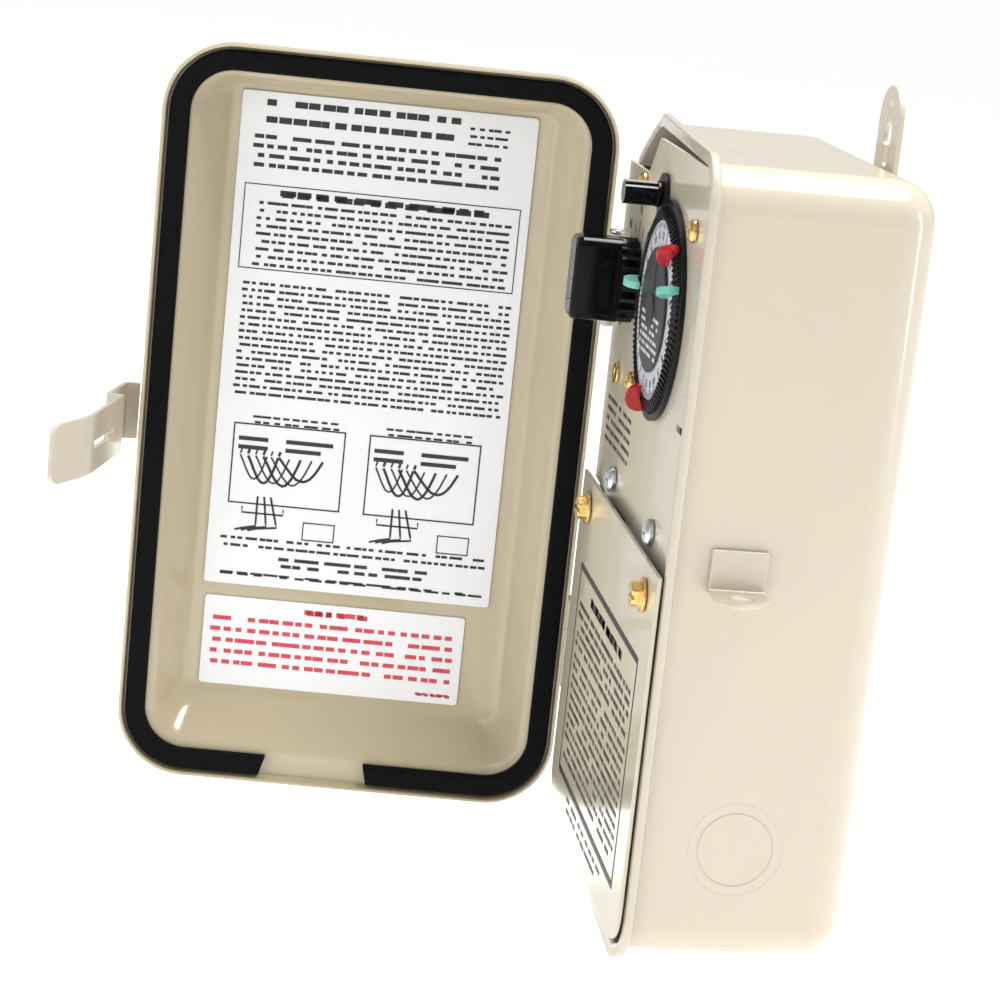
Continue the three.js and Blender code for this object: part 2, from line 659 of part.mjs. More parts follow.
// Rear-open box with two fixing lugs, the arbor bush and the pivots for the gear train.
const buildHousing = () => {
  let housing = housingBox(0);
  for (const side of [-1, 1]) {
    const x = DIAL_X + side * TIMER_SCREW.x;
    const z = DIAL_Z + side * TIMER_SCREW.z;
    const lugEnd = side < 0 ? housingLeft + 3 : DIAL_X + TIMER_HALF - 3;
    const x0 = Math.min(x - 4, lugEnd);
    const x1 = Math.max(x + 4, lugEnd);
    housing = housing.add(box(x0, x1, timerFront, timerFront + 3, z - side * 4 - 6, z - side * 4 + 6));
  }
  housing = housing.subtract(housingBox(TIMER_WALL));
  const bushEnd = timerFront + TIMER_WALL + 2;
  housing = housing.add(rodY(DIAL_X, DIAL_Z, ARBOR_RADIUS + 2, timerFront, bushEnd, 24));
  housing = housing.subtract(rodY(DIAL_X, DIAL_Z, ARBOR_RADIUS + PLAY, -80, -40, 20));
  const pinEnd = timerFront + TIMER_WALL + 10;
  housing = housing.add(rodY(idlerX, DIAL_Z, 1.2, timerFront + 0.5, pinEnd, 12));
  for (const side of [-1, 1]) {
    const x = DIAL_X + side * TIMER_SCREW.x;
    housing = housing.subtract(rodY(x, DIAL_Z + side * TIMER_SCREW.z, 1.8, -80, -40, 12));
  }
  return housing;
};

const motorZ = DIAL_Z - meshGap(GEAR.wheel, GEAR.pinion);
const gearFront = timerFront + TIMER_WALL + 2.6;

const buildDialGear = () => {
  const disc = gearDisc(GEAR.dial, 180, DIAL_X, DIAL_Z, gearFront + GEAR.wide, GEAR.wide);
  return disc.subtract(rodY(DIAL_X, DIAL_Z, ARBOR_RADIUS + FIT, -80, -40, 20));
};

const buildIdler = () => {
  const back = gearFront + GEAR.wide;
  const toothOff = 180 / GEAR.pinion;
  const small = gearDisc(GEAR.pinion, toothOff, idlerX, DIAL_Z, back + 0.4, GEAR.wide + 0.8);
  const large = gearDisc(GEAR.wheel, 270, idlerX, DIAL_Z, back + 0.4 + 2, 2.2);
  return small.add(large).subtract(rodY(idlerX, DIAL_Z, 1.2 + PLAY, -80, -40, 12));
};

const buildMotorPinion = () => {
  const back = gearFront + GEAR.wide + 2.6;
  const offset = 90 + 180 / GEAR.pinion;
  const gear = gearDisc(GEAR.pinion, offset, idlerX, motorZ, back, 2.6);
  return gear.add(rodY(idlerX, motorZ, 1.1, back - 0.5, motorFront + 3, 12));
};

const motorFront = timerFront + TIMER_WALL + 10.5;
const buildMotor = () => {
  const [x, z] = [idlerX + 3.5, motorZ + 5];
  const can = rodY(x, z, 11, motorFront, timerRear - 1.2, 28);
  const lip = rodY(x, z, 11.8, motorFront + 1.5, motorFront + 2.6, 28);
  return can.add(lip).subtract(rodY(idlerX, motorZ, 1.6, motorFront - 1, motorFront + 4, 14));
};

const switchX = DIAL_X + 15.5;
const buildSnapSwitch = () => {
  const y0 = gearFront + GEAR.wide + 1;
  const body = box(switchX - 6.4, switchX + 6.4, y0, y0 + 6.4, DIAL_Z - 14, DIAL_Z + 14);
  const button = rodX(y0 + 3.2, DIAL_Z - 6, 1.2, switchX - 7.6, switchX - 6, 10);
  let made = body.intersect(box(switchX - 6.4, 99, -90, 0, -200, 200)).add(button);
  for (const offset of [-10, 0, 10]) {
    const z = DIAL_Z + offset;
    made = made.add(box(switchX - 1, switchX + 4.6, y0 + 6, y0 + 14, z - 0.4, z + 0.4));
  }
  return made;
};

// ---------- thermostat and selector ----------
const buildThermoKnob = () => {
  const back = plateFront - FIT;
  const front = back - THERMO.skirtDeep;
  const end = plateFront - THERMO.deep;
  const outline = new THREE.Shape();
  const lobes = 20;
  for (let i = 0; i <= lobes * 4; i += 1) {
    const angle = (i / (lobes * 4)) * Math.PI * 2;
    const radius = THERMO.skirt - 0.45 + 0.45 * Math.cos(angle * lobes);
    const point = [radius * Math.cos(angle), radius * Math.sin(angle)];
    if (i) outline.lineTo(...point);
    else outline.moveTo(...point);
  }
  const x0 = THERMO_X - THERMO.barWide / 2;
  const x1 = THERMO_X + THERMO.barWide / 2;
  const z0 = THERMO_Z - THERMO.bar / 2;
  const z1 = THERMO_Z + THERMO.bar / 2;
  const bar = loft([
    { x0: x0 + 1.4, x1: x1 - 1.4, z0: z0 + 1.4, z1: z1 - 1.4, radius: 2.4, y: end },
    { x0: x0 + 0.4, x1: x1 - 0.4, z0: z0 + 0.4, z1: z1 - 0.4, radius: 2.6, y: end + 0.7 },
    { x0, x1, z0, z1, radius: 3, y: end + 2.2 },
    { x0, x1, z0, z1, radius: 3, y: front + 1 },
  ]);
  const skirt = sheetFront(outline, back, THERMO.skirtDeep).translate([THERMO_X, 0, THERMO_Z]);
  const bore = rodY(THERMO_X, THERMO_Z, THERMO.shaft + FIT, front - 5, 0, 16);
  return skirt.add(bar).subtract(bore);
};

const thermoFront = plateBack + FIT;
const buildThermoBody = () => {
  const [x0, x1] = [THERMO_X - 17, THERMO_X + 11];
  const body = box(x0, x1, thermoFront, thermoFront + 22, THERMO_Z - 21, THERMO_Z + 21);
  const drum = rodY(THERMO_X, THERMO_Z, 10, thermoFront + 21, thermoFront + 27, 24);
  const tail = rodY(THERMO_X, THERMO_Z, 1.1, thermoFront + 26, thermoFront + 30, 10);
  const bore = rodY(THERMO_X, THERMO_Z, THERMO.shaft + PLAY, -80, thermoFront + 9, 20);
  return body.add(drum).add(tail).subtract(bore);
};

const buildThermoShaft = () =>
  rodY(THERMO_X, THERMO_Z, THERMO.shaft, plateFront - FIT - THERMO.skirtDeep - 4, thermoFront + 8.4, 16);

const buildSelectorKnob = () => {
  const back = bezelFront - FIT;
  const end = plateFront - SELECTOR.deep;
  const outline = new THREE.Shape();
  const ribs = 12;
  for (let i = 0; i < ribs * 2; i += 1) {
    const angle = (i / (ribs * 2)) * Math.PI * 2;
    const radius = SELECTOR.tall / 2 - (i % 2 ? 0.45 : 0);
    const point = [radius * Math.cos(angle), radius * Math.sin(angle)];
    if (i) outline.lineTo(...point);
    else outline.moveTo(...point);
  }
  const grip = sheetFront(outline, back - 0.5, back - 0.5 - end).translate([SELECTOR_X, 0, SELECTOR_Z]);
  const skirt = rodY(SELECTOR_X, SELECTOR_Z, SELECTOR.skirt, back - 1.1, back, 24);
  const shaft = rodY(SELECTOR_X, SELECTOR_Z, SELECTOR.shaft, back - 1, plateBack + 6, 14);
  return grip.add(skirt).add(shaft);
};

const buildSelectorSwitch = () => {
  const y = plateBack + FIT;
  const floor = DIAL_Z + TIMER_HALF + FIT;
  const body = box(SELECTOR_X - 8, SELECTOR_X + 8, y, y + 14, floor, floor + 13.7);
  return body.subtract(rodY(SELECTOR_X, SELECTOR_Z, SELECTOR.shaft + PLAY, -80, y + 7, 14));
};

// ---------- hinges ----------
const knuckleSpans = (z) => {
  const half = HINGE.length / 2;
  const third = HINGE.length / 3;
  const outer = [
    [z - half, z - half + third - FIT],
    [z + half - third + FIT, z + half],
  ];
  const inner = [[z - third / 2, z + third / 2]];
  return { outer, inner };
};

const buildCaseLeaf = (z) => {
  const wall = -halfW - FIT;
  const path = [
    [hingeX, hingeY + HINGE.barrel - 1.3],
    [hingeX + 2.6, hingeY + HINGE.barrel - 1.3],
    [wall - 0.8 - LIP, hingeY + 7.6],
    [wall, hingeY + 9.5],
    [wall, hingeY + 26],
  ];
  const { outer } = knuckleSpans(z);
  const strap = stripShape(path, 1.3);
  const half = HINGE.length / 2;
  let leaf = raise(strap, z - half, z + half);
  const middle = HINGE.length / 6 + FIT;
  leaf = leaf.subtract(rodZ(hingeX, hingeY, HINGE.barrel + PLAY, z - middle, z + middle, 20));
  for (const [z0, z1] of outer) {
    leaf = leaf.add(rodZ(hingeX, hingeY, HINGE.barrel, z0, z1, 20));
  }
  return leaf.subtract(rodZ(hingeX, hingeY, HINGE.pin + FIT, z - 40, z + 40, 16));
};

const buildPin = (z) => {
  const half = HINGE.length / 2;
  const shaft = rodZ(hingeX, hingeY, HINGE.pin, z - half - 0.6, z + half + 1, 16);
  return shaft.add(rodZ(hingeX, hingeY, HINGE.barrel - 0.2, z + half + FIT, z + half + 1.4, 16));
};

const buildDoorLeaf = (z) => {
  const { inner } = knuckleSpans(z);
  const outside = doorLeft - FIT - 1.4;
  const front = flangeInner - DOOR_RIM - FIT;
  const path = [
    [hingeX, hingeY - HINGE.barrel + 1.2],
    [outside, hingeY - HINGE.barrel + 0.6],
    [outside, front - 1.2],
    [doorLeft + 7.5, front - 1.2],
  ];
  const half = HINGE.length / 6;
  let leaf = raise(stripShape(path, 1.2), z - half, z + half);
  for (const [z0, z1] of inner) leaf = leaf.add(rodZ(hingeX, hingeY, HINGE.barrel, z0, z1, 20));
  return leaf.subtract(rodZ(hingeX, hingeY, HINGE.pin + FIT, z - 40, z + 40, 16));
};

// ---------- the door, drawn closed in front of the case ----------
const buildDoorPan = () => {
  const r = DOOR_RADIUS;
  const rimOuter = { x0: doorLeft, x1: doorRight, z0: doorBottom, z1: doorTop, radius: r };
  const shrink = (b, d, y, share = 0) => ({
    x0: b.x0 + d,
    x1: b.x1 - d,
    z0: b.z0 + d + 4 * share,
    z1: b.z1 - d + 7.5 * share,
    radius: Math.max(b.radius - d, 4),
    y,
  });
  const flangeWidth = GASKET.inset + GASKET.width + 0.6;
  const rimFront = flangeInner - DOOR_RIM;
  const steps = [
    [0, 0],
    [0.35, 0.2],
    [0.62, 0.48],
    [0.85, 0.78],
    [1, 1],
  ];
  const deep = flangeInner - panelInner;
  const wall = (offset, front) =>
    steps.map(([across, down]) =>
      shrink(
        rimOuter,
        flangeWidth + PAN_SLOPE * across + offset,
        flangeInner - deep * down - front,
        across,
      ),
    );
  const outside = [
    ...wall(-SHEET * 0.8, SHEET).reverse().slice(0, 4),
    shrink(rimOuter, flangeWidth - SHEET, rimFront),
    shrink(rimOuter, 1.2, rimFront),
    shrink(rimOuter, 0, rimFront + 1),
    shrink(rimOuter, 0, gasketFace + 0.6),
  ];
  const inside = [...wall(0, 0).reverse(), shrink(rimOuter, flangeWidth, gasketFace + 5)];
  const trough = loft([
    shrink(rimOuter, DOOR_RIM, flangeInner),
    shrink(rimOuter, DOOR_RIM, gasketFace + 6),
  ]);
  return loft(outside).subtract(loft(inside)).subtract(trough);
};

const gasketRing = (inset, width) => {
  const near = { x0: doorLeft + inset, x1: doorRight - inset, z0: doorBottom + inset, z1: doorTop - inset };
  const outer = roundRect(near.x0, near.x1, near.z0, near.z1, DOOR_RADIUS - inset);
  const d = inset + width;
  const radius = DOOR_RADIUS - d + 1.5;
  const inner = polygon(
    ringPoints(doorLeft + d, doorRight - d, doorBottom + d, doorTop - d, radius, 3),
  );
  const back = gasketFace;
  const ring = sheetFront(outer, back, GASKET.thick);
  return ring.subtract(sheetFront(inner, back + 1, GASKET.thick + 2));
};

const buildGasket = () => {
  const ring = gasketRing(GASKET.inset, GASKET.width);
  const low = doorBottom;
  const gap = polygon([
    [GASKET.gapLeft, low + GASKET.inset - 1],
    [GASKET.gapRight + 1.5, low + GASKET.inset - 1],
    [GASKET.gapRight - 1, low + GASKET.inset + GASKET.width + 1],
    [GASKET.gapLeft + 2, low + GASKET.inset + GASKET.width + 1],
  ]);
  return ring.subtract(sheetFront(gap, gasketFace + 1, GASKET.thick + 2));
};

const buildLabel = (z0, z1, x0, x1) => {
  const back = panelInner + 0.3 + LABEL_THICK;
  return sheetFront(roundRect(x0, x1, z0, z1, 1.2), back, LABEL_THICK, 3);
};

// ---------- the hasp ----------
// Plan of the strap, measured from the door's free edge and the gasket's face.
const HASP_PATH = [
  [2.4, -20.6],
  [6.6, -19.8],
  [9.6, 0],
  [5.1, 1.2],
  [10.2, 36],
  [11.9, 42.4],
  [14.3, 48],
  [20, 60],
];
const SLOT = { from: 13, to: 35.5 };

const buildHasp = () => {
  const plan = HASP_PATH.map(([x, y]) => [doorRight + x, gasketFace + y]);
  const strap = raise(stripShape(plan, -STRAP.thick), STRAP.bottom, STRAP.top);
  const half = STRAP.slotTall / 2;
  const [near, far] = [doorRight - 10, doorRight + 30];
  const slotFront = gasketFace + SLOT.from;
  const slotBack = gasketFace + SLOT.to;
  const slot = box(near, far, slotFront, slotBack, STRAP.slotZ - half, STRAP.slotZ + half);
  const tip = gasketFace + HASP_PATH[HASP_PATH.length - 1][1];
  const rounded = roundRect(gasketFace - 40, tip, STRAP.bottom, STRAP.top, 4.5);
  return strap.intersect(carry(rounded, near, far)).subtract(slot);
};

const buildHaspFoot = () => {
  const front = flangeInner - DOOR_RIM - FIT;
  const [rootX, rootY] = HASP_PATH[0];
  const path = [
    [doorRight - 8, front],
    [doorRight + 0.6, front],
    [doorRight + rootX - FIT - 0.1, gasketFace + rootY + 0.4],
  ];
  return raise(stripShape(path, -1.2), STRAP.bottom + 1, STRAP.top - 1);
};

// ---------- wiring and sensor ----------
class Route extends THREE.CatmullRomCurve3 {
  constructor(points) {
    super(points.map(([x, y, z]) => new THREE.Vector3(x, y, z)), false, "centripetal");
  }
}

const cable = (points, radius, steps = 22, sides = 8) => {
  const circle = new THREE.Shape();
  circle.absarc(0, 0, radius, 0, Math.PI * 2);
  const options = { steps, bevelEnabled: false, curveSegments: sides / 2, extrudePath: new Route(points) };
  return solid(new THREE.ExtrudeGeometry(circle, options));
};

const LEADS = [
  { name: "lead_black", color: 0x121214, shift: 0 },
  { name: "lead_red", color: 0xb3161d, shift: 1 },
  { name: "lead_white", color: 0xe9e8e2, shift: 2 },
];
const buildLead = (shift) => {
  const x = switchX + 2;
  const z = DIAL_Z - 10 + shift * 10;
  const y = gearFront + GEAR.wide + 1 + 14;
  return cable(
    [
      [x, y + FIT, z],
      [x + 2, y + 8, z - 2],
      [46 + shift * 3, -24, halfH - 86],
      [44 + shift * 4, -22, -10],
      [38 + shift * 6, -20 + shift * 2, 56 - halfH],
      [22 + shift * 7, -16 - shift * 3, 24 - halfH],
    ],
    1.3,
  );
};

const buildCapillary = () => {
  const y = thermoFront + 30 + 2 * FIT;
  return cable(
    [
      [THERMO_X, y, THERMO_Z],
      [THERMO_X, y + 4, THERMO_Z - 6],
      [THERMO_X - 6, -20, halfH - 86],
      [THERMO_X - 10, -16, -10],
      [BULB.x - 6, BULB.y - 2, 66 - halfH],
      [BULB.x, BULB.y, BULB.high + 4 - halfH],
    ],
    0.9,
    22,
    6,
  );
};
const buildBulb = () => {
  const top = BULB.high - halfH;
  const body = rodZ(BULB.x, BULB.y, BULB.radius, BULB.low - halfH, top, 20);
  const neck = rodZ(BULB.x, BULB.y, BULB.radius / 2, top - 0.5, top + 3.5, 14);
  return body.add(neck);
};
const buildBulbClip = () => {
  const z0 = BULB.low + 10 - halfH;
  const z1 = z0 + 8;
  const { x, y, radius } = BULB;
  const outer = rodZ(x, y, radius + 1.4, z0, z1, 20);
  const foot = box(x - radius - 1.4, x + radius + 1.4, y, -SHEET - FIT, z0, z1);
  const mouth = box(x - 2.5, x + 2.5, y - 10, y, z0 - 1, z1 + 1);
  return outer.add(foot).subtract(rodZ(x, y, radius + FIT, z0 - 1, z1 + 1, 20)).subtract(mouth);
};
const buildGroundLug = () => {
  const back = -SHEET - FIT;
  const low = 16 - halfH;
  const plate = box(12, 26, back - 1.6, back, low, low + 12);
  const barrel = box(14, 24, back - 8, back - 1, low + 2, low + 10);
  return plate.add(barrel).subtract(rodZ(19, back - 4.6, 1.7, low - 20, low + 20, 12));
};
const buildGroundLead = () =>
  cable(
    [
      [19, -SHEET - FIT - 4.6, 26 - halfH],
      [19, -6.1, 32 - halfH],
      [6, -14, 56 - halfH],
      [-6, -30, -20],
      [-10, -40, halfH - 96],
      [-14, plateBack + 14, halfH - 82],
      [-14, plateBack + 5, halfH - 80],
    ],
    1.2,
  );

// ---------- assembly ----------
const object = new THREE.Group();
object.name = "enclosed_dial_timer";
const add = (name, body, finish, group = object) => piece(name, body, finish, group);

add("case", buildCase(), BEIGE);
add("mounting_ear", buildEar(), BEIGE);
add("padlock_tab", buildTab(), BEIGE);
add("lower_rail", buildRail(), ZINC);
add("upper_bracket_left", buildUpperBracket(-1, GROUND_PLATE.z - 4.5, GROUND_PLATE.z + 2.5), ZINC);
add("upper_bracket_right", buildUpperBracket(1, halfH - 18.3, halfH - 13.1), ZINC);
add("mechanism_plate", buildPlate(), BEIGE);
add("cover_plate", buildCover(), BEIGE);
for (const [side, tag] of [
  [-1, "left"],
  [1, "right"],
]) {
  add(`cover_screw_${tag}`, hexScrew(side * HEX_SCREW.x, HEX_SCREW.z, coverFront, 9), GOLD);
  add(`plate_screw_${tag}`, panScrew(side * PAN_SCREW.x, PAN_SCREW.z, plateFront, 6, 4.2), ZINC);
  const x = DIAL_X + side * TIMER_SCREW.x;
  add(`timer_screw_${tag}`, panScrew(x, DIAL_Z + side * TIMER_SCREW.z, plateFront, 5.5, 3.4), GOLD);
}
add("bracket_screw", panScrew(GROUND_PLATE.x, GROUND_PLATE.z, plateFront, 6, 3.4), GOLD);
add("eyelet", washerRing(EYELET.x, EYELET.z, 3.6, 1.9, plateFront - FIT - 0.8, plateFront - FIT), GOLD);
add("timer_bezel", buildBezel(), BLACK);
add("timer_housing", buildHousing(), BLACK);
add("snap_switch", buildSnapSwitch(), BLACK);
add("timer_motor", buildMotor(), ZINC);
add("thermostat_body", buildThermoBody(), GREY);
add("selector_switch", buildSelectorSwitch(), GREY);
add("capillary_tube", buildCapillary(), COPPER);
add("sensing_bulb", buildBulb(), COPPER);
add("bulb_clip", buildBulbClip(), ZINC);
add("ground_lug", buildGroundLug(), GOLD);
add("ground_lead", buildGroundLead(), { ...WHITE, color: 0x2f8a4a });
for (const { name, color, shift } of LEADS) add(name, buildLead(shift), { ...WHITE, color });
add("dial_ring", buildRing(), BLACK);
add("dial_face", buildFace(), WHITE);
add("dial_hub", buildHub(), GREY);
add("dial_gear", buildDialGear(), WHITE);
add("idler_gear", buildIdler(), WHITE);
add("motor_pinion", buildMotorPinion(), GOLD);
for (const { name, angle, color } of TRIPPERS) add(name, buildTripper(angle), { ...WHITE, color });
add("thermostat_knob", buildThermoKnob(), BLACK);
add("thermostat_shaft", buildThermoShaft(), ZINC);
add("selector_knob", buildSelectorKnob(), BLACK);

for (const [z, tag] of [
  [HINGE.z, "upper"],
  [-HINGE.z, "lower"],
]) {
  add(`hinge_case_leaf_${tag}`, buildCaseLeaf(z), BEIGE);
  add(`hinge_pin_${tag}`, buildPin(z), ZINC);
}

// The door group turns about the hinge line; its pieces are drawn closed.
const swing = new THREE.Group();
swing.position.set(hingeX, hingeY, 0);
swing.rotation.z = -THREE.MathUtils.degToRad(DOOR_OPEN_DEG);
const door = new THREE.Group();
door.position.set(-hingeX, -hingeY, 0);
swing.add(door);
object.add(swing);
add("door_pan", buildDoorPan(), BEIGE, door);
add("door_gasket", buildGasket(), FOAM, door);
add("label_large", buildLabel(doorBottom + 64.2, doorTop - 15.9, -48, 50), WHITE, door);
add("label_small", buildLabel(doorBottom + 28.2, doorBottom + 59.7, -40.5, 49), WHITE, door);
for (const [z, tag] of [
  [HINGE.z, "upper"],
  [-HINGE.z, "lower"],
]) {
  add(`hinge_door_leaf_${tag}`, buildDoorLeaf(z), BEIGE, door);
}
add("hasp_foot", buildHaspFoot(), BEIGE, door);
add("hasp", buildHasp(), BEIGE, door);

export default object;
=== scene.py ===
import json
import math
import random

import bmesh
import bpy
from mathutils import Matrix, Vector

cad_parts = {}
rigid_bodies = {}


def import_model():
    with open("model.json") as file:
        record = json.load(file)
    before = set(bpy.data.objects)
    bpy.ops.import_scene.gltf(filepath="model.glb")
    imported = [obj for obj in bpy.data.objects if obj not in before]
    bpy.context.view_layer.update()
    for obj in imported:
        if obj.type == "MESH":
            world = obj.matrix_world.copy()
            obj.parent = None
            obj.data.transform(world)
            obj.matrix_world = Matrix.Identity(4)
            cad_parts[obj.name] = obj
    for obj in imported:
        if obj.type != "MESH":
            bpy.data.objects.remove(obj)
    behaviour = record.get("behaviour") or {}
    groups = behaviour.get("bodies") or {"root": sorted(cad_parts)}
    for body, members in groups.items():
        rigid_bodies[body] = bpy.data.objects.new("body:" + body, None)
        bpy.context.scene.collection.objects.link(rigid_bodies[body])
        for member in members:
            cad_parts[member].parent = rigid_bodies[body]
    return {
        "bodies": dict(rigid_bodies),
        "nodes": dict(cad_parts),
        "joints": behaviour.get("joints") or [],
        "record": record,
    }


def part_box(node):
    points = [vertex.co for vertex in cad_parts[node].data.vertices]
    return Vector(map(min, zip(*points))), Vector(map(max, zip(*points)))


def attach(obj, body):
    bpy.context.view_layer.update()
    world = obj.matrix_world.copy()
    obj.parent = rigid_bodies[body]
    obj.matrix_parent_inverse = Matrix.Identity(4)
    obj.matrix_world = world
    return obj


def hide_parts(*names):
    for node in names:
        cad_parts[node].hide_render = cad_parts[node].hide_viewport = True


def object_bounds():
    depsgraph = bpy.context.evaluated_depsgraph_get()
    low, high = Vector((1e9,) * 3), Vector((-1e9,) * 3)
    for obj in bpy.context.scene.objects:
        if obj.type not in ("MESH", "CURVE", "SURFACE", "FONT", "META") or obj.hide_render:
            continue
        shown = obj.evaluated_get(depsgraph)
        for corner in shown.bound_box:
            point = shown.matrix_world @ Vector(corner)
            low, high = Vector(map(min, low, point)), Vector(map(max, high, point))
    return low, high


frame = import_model()
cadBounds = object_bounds()
mm = 0.001
nodes = frame["nodes"]
record = frame["record"]
bodyOf = {n: b for b, ns in record["behaviour"]["bodies"].items() for n in ns}
slotOf = {s["node"]: s["material_slot"] for s in record["subparts"]}
joints = {j["name"]: j for j in frame["joints"]}
print("frame loaded:", len(nodes), "nodes")


# ---- materials ----
def newMaterial(name, color, roughness, metallic=0.0, coat=0.0, specular=0.5):
    material = bpy.data.materials.new(name)
    material.use_nodes = True
    shader = material.node_tree.nodes["Principled BSDF"]
    shader.inputs["Base Color"].default_value = (*color, 1)
    shader.inputs["Roughness"].default_value = roughness
    shader.inputs["Metallic"].default_value = metallic
    shader.inputs["Coat Weight"].default_value = coat
    shader.inputs["Coat Roughness"].default_value = 0.06
    shader.inputs["Specular IOR Level"].default_value = specular
    return material, material.node_tree, shader


def noiseOf(tree, scale, detail=3.0, rough=0.5, stretch=(1, 1, 1)):
    place = tree.nodes.new("ShaderNodeTexCoord")
    mapping = tree.nodes.new("ShaderNodeMapping")
    mapping.inputs["Scale"].default_value = stretch
    noise = tree.nodes.new("ShaderNodeTexNoise")
    noise.inputs["Scale"].default_value = scale
    noise.inputs["Detail"].default_value = detail
    noise.inputs["Roughness"].default_value = rough
    tree.links.new(place.outputs["Object"], mapping.inputs["Vector"])
    tree.links.new(mapping.outputs["Vector"], noise.inputs["Vector"])
    return noise.outputs["Fac"]


def rampOf(tree, source, stops):
    ramp = tree.nodes.new("ShaderNodeValToRGB")
    elements = ramp.color_ramp.elements
    while len(elements) < len(stops):
        elements.new(0.5)
    for element, (position, color) in zip(elements, stops):
        element.position = position
        element.color = (*color, 1)
    tree.links.new(source, ramp.inputs["Fac"])
    return ramp.outputs["Color"]


def rangeOf(tree, source, low, high):
    remap = tree.nodes.new("ShaderNodeMapRange")
    remap.inputs["To Min"].default_value = low
    remap.inputs["To Max"].default_value = high
    tree.links.new(source, remap.inputs["Value"])
    return remap.outputs["Result"]


def bumpOf(tree, shader, source, strength, distance):
    bump = tree.nodes.new("ShaderNodeBump")
    bump.inputs["Strength"].default_value = strength
    bump.inputs["Distance"].default_value = distance
    tree.links.new(source, bump.inputs["Height"])
    tree.links.new(bump.outputs["Normal"], shader.inputs["Normal"])


def shade(color, factor):
    return tuple(min(1.0, c * factor) for c in color)


# colour, gloss and grain of each finish; vary is the spread of colour, grain the bump
finishes = {
    "paint": dict(color=(0.565, 0.507, 0.405), roughness=0.20, coat=0.30,
        vary=0.015, cloud=18, grain=380, bump=0.02, depth=0.0002),
    "zinc": dict(color=(0.66, 0.68, 0.71), roughness=0.28, metallic=1.0,
        vary=0.10, cloud=160, grain=1800, bump=0.10, depth=0.0001),
    "gold_plating": dict(color=(0.78, 0.52, 0.19), roughness=0.24, metallic=1.0,
        vary=0.14, cloud=220, grain=1600, bump=0.08, depth=0.0001),
    "black_gloss": dict(color=(0.002, 0.002, 0.0025), roughness=0.09, coat=0.0, specular=0.16,
        vary=0.3, cloud=60, grain=500, bump=0.02, depth=0.0001),
    "black_moulding": dict(color=(0.005, 0.005, 0.0055), roughness=0.34, specular=0.22,
        vary=0.3, cloud=90, grain=2600, bump=0.12, depth=0.0001),
    "grey_moulding": dict(color=(0.042, 0.043, 0.047), roughness=0.42, specular=0.3,
        vary=0.12, cloud=120, grain=2400, bump=0.10, depth=0.0001),
    "white_moulding": dict(color=(0.55, 0.57, 0.62), roughness=0.45,
        vary=0.05, cloud=120, grain=2200, bump=0.06, depth=0.0001),
    "copper": dict(color=(0.62, 0.30, 0.16), roughness=0.3, metallic=1.0,
        vary=0.18, cloud=140, grain=1400, bump=0.10, depth=0.0001),
    "foam": dict(color=(0.0045, 0.0045, 0.005), roughness=0.92,
        vary=0.55, cloud=900, grain=1500, bump=0.75, depth=0.0006, specular=0.12),
    "print": dict(color=(0.83, 0.84, 0.86), roughness=0.42,
        vary=0.015, cloud=60, grain=900, bump=0.03, depth=0.0001),
    "wire_green": dict(color=(0.03, 0.22, 0.07), roughness=0.35,
        vary=0.1, cloud=200, grain=1200, bump=0.05, depth=0.0001),
    "wire_black": dict(color=(0.012, 0.012, 0.013), roughness=0.35,
        vary=0.2, cloud=200, grain=1200, bump=0.05, depth=0.0001),
    "wire_red": dict(color=(0.42, 0.012, 0.016), roughness=0.35,
        vary=0.1, cloud=200, grain=1200, bump=0.05, depth=0.0001),
    "wire_white": dict(color=(0.72, 0.72, 0.69), roughness=0.35,
        vary=0.05, cloud=200, grain=1200, bump=0.05, depth=0.0001),
    "tripper_red": dict(color=(0.44, 0.004, 0.010), roughness=0.22, coat=0.2,
        vary=0.08, cloud=300, grain=1500, bump=0.04, depth=0.0001),
    "tripper_green": dict(color=(0.16, 0.52, 0.44), roughness=0.25, coat=0.2,
        vary=0.08, cloud=300, grain=1500, bump=0.04, depth=0.0001),
}
extraFinishes = {
    "inkBlack": dict(color=(0.018, 0.018, 0.022), roughness=0.5,
        vary=0.2, cloud=900, grain=2500, bump=0.03, depth=0.00005),
    "inkRed": dict(color=(0.62, 0.05, 0.08), roughness=0.5,
        vary=0.15, cloud=900, grain=2500, bump=0.03, depth=0.00005),
    "inkWhite": dict(color=(0.62, 0.64, 0.68), roughness=0.5,
        vary=0.08, cloud=900, grain=2500, bump=0.03, depth=0.00005),
    "plateGloss": dict(color=(0.58, 0.535, 0.42), roughness=0.20, coat=0.35,
        vary=0.02, cloud=20, grain=300, bump=0.010, depth=0.0002),
    # the door's paint is the case paint made darker and yellower: painted shade for the inside of the open
    # door, which gets less light
    "doorShadedPaint": dict(color=(0.50, 0.43, 0.29), roughness=0.20, coat=0.30,
        vary=0.015, cloud=18, grain=380, bump=0.02, depth=0.0002),
}


def makeFinish(name, spec):
    color = spec["color"]
    metallic, coat, specular = spec.get("metallic", 0.0), spec.get("coat", 0.0), spec.get("specular", 0.5)
    material, tree, shader = newMaterial(name, color, spec["roughness"], metallic, coat, specular)
    cloud = noiseOf(tree, spec["cloud"], 4.0, 0.6)
    vary = spec["vary"]
    colors = rampOf(tree, cloud, [(0.25, shade(color, 1 - vary)), (0.75, shade(color, 1 + vary))])
    tree.links.new(colors, shader.inputs["Base Color"])
    scuff = noiseOf(tree, spec["cloud"] * 4, 5.0, 0.6)
    rough = rangeOf(tree, scuff, spec["roughness"] * 0.85, spec["roughness"] * 1.15)
    tree.links.new(rough, shader.inputs["Roughness"])
    bumpOf(tree, shader, noiseOf(tree, spec["grain"], 2.0, 0.5), spec["bump"], spec["depth"])
    return material


materials = {name: makeFinish(name, spec) for name, spec in {**finishes, **extraFinishes}.items()}
print("finishes:", len(materials))


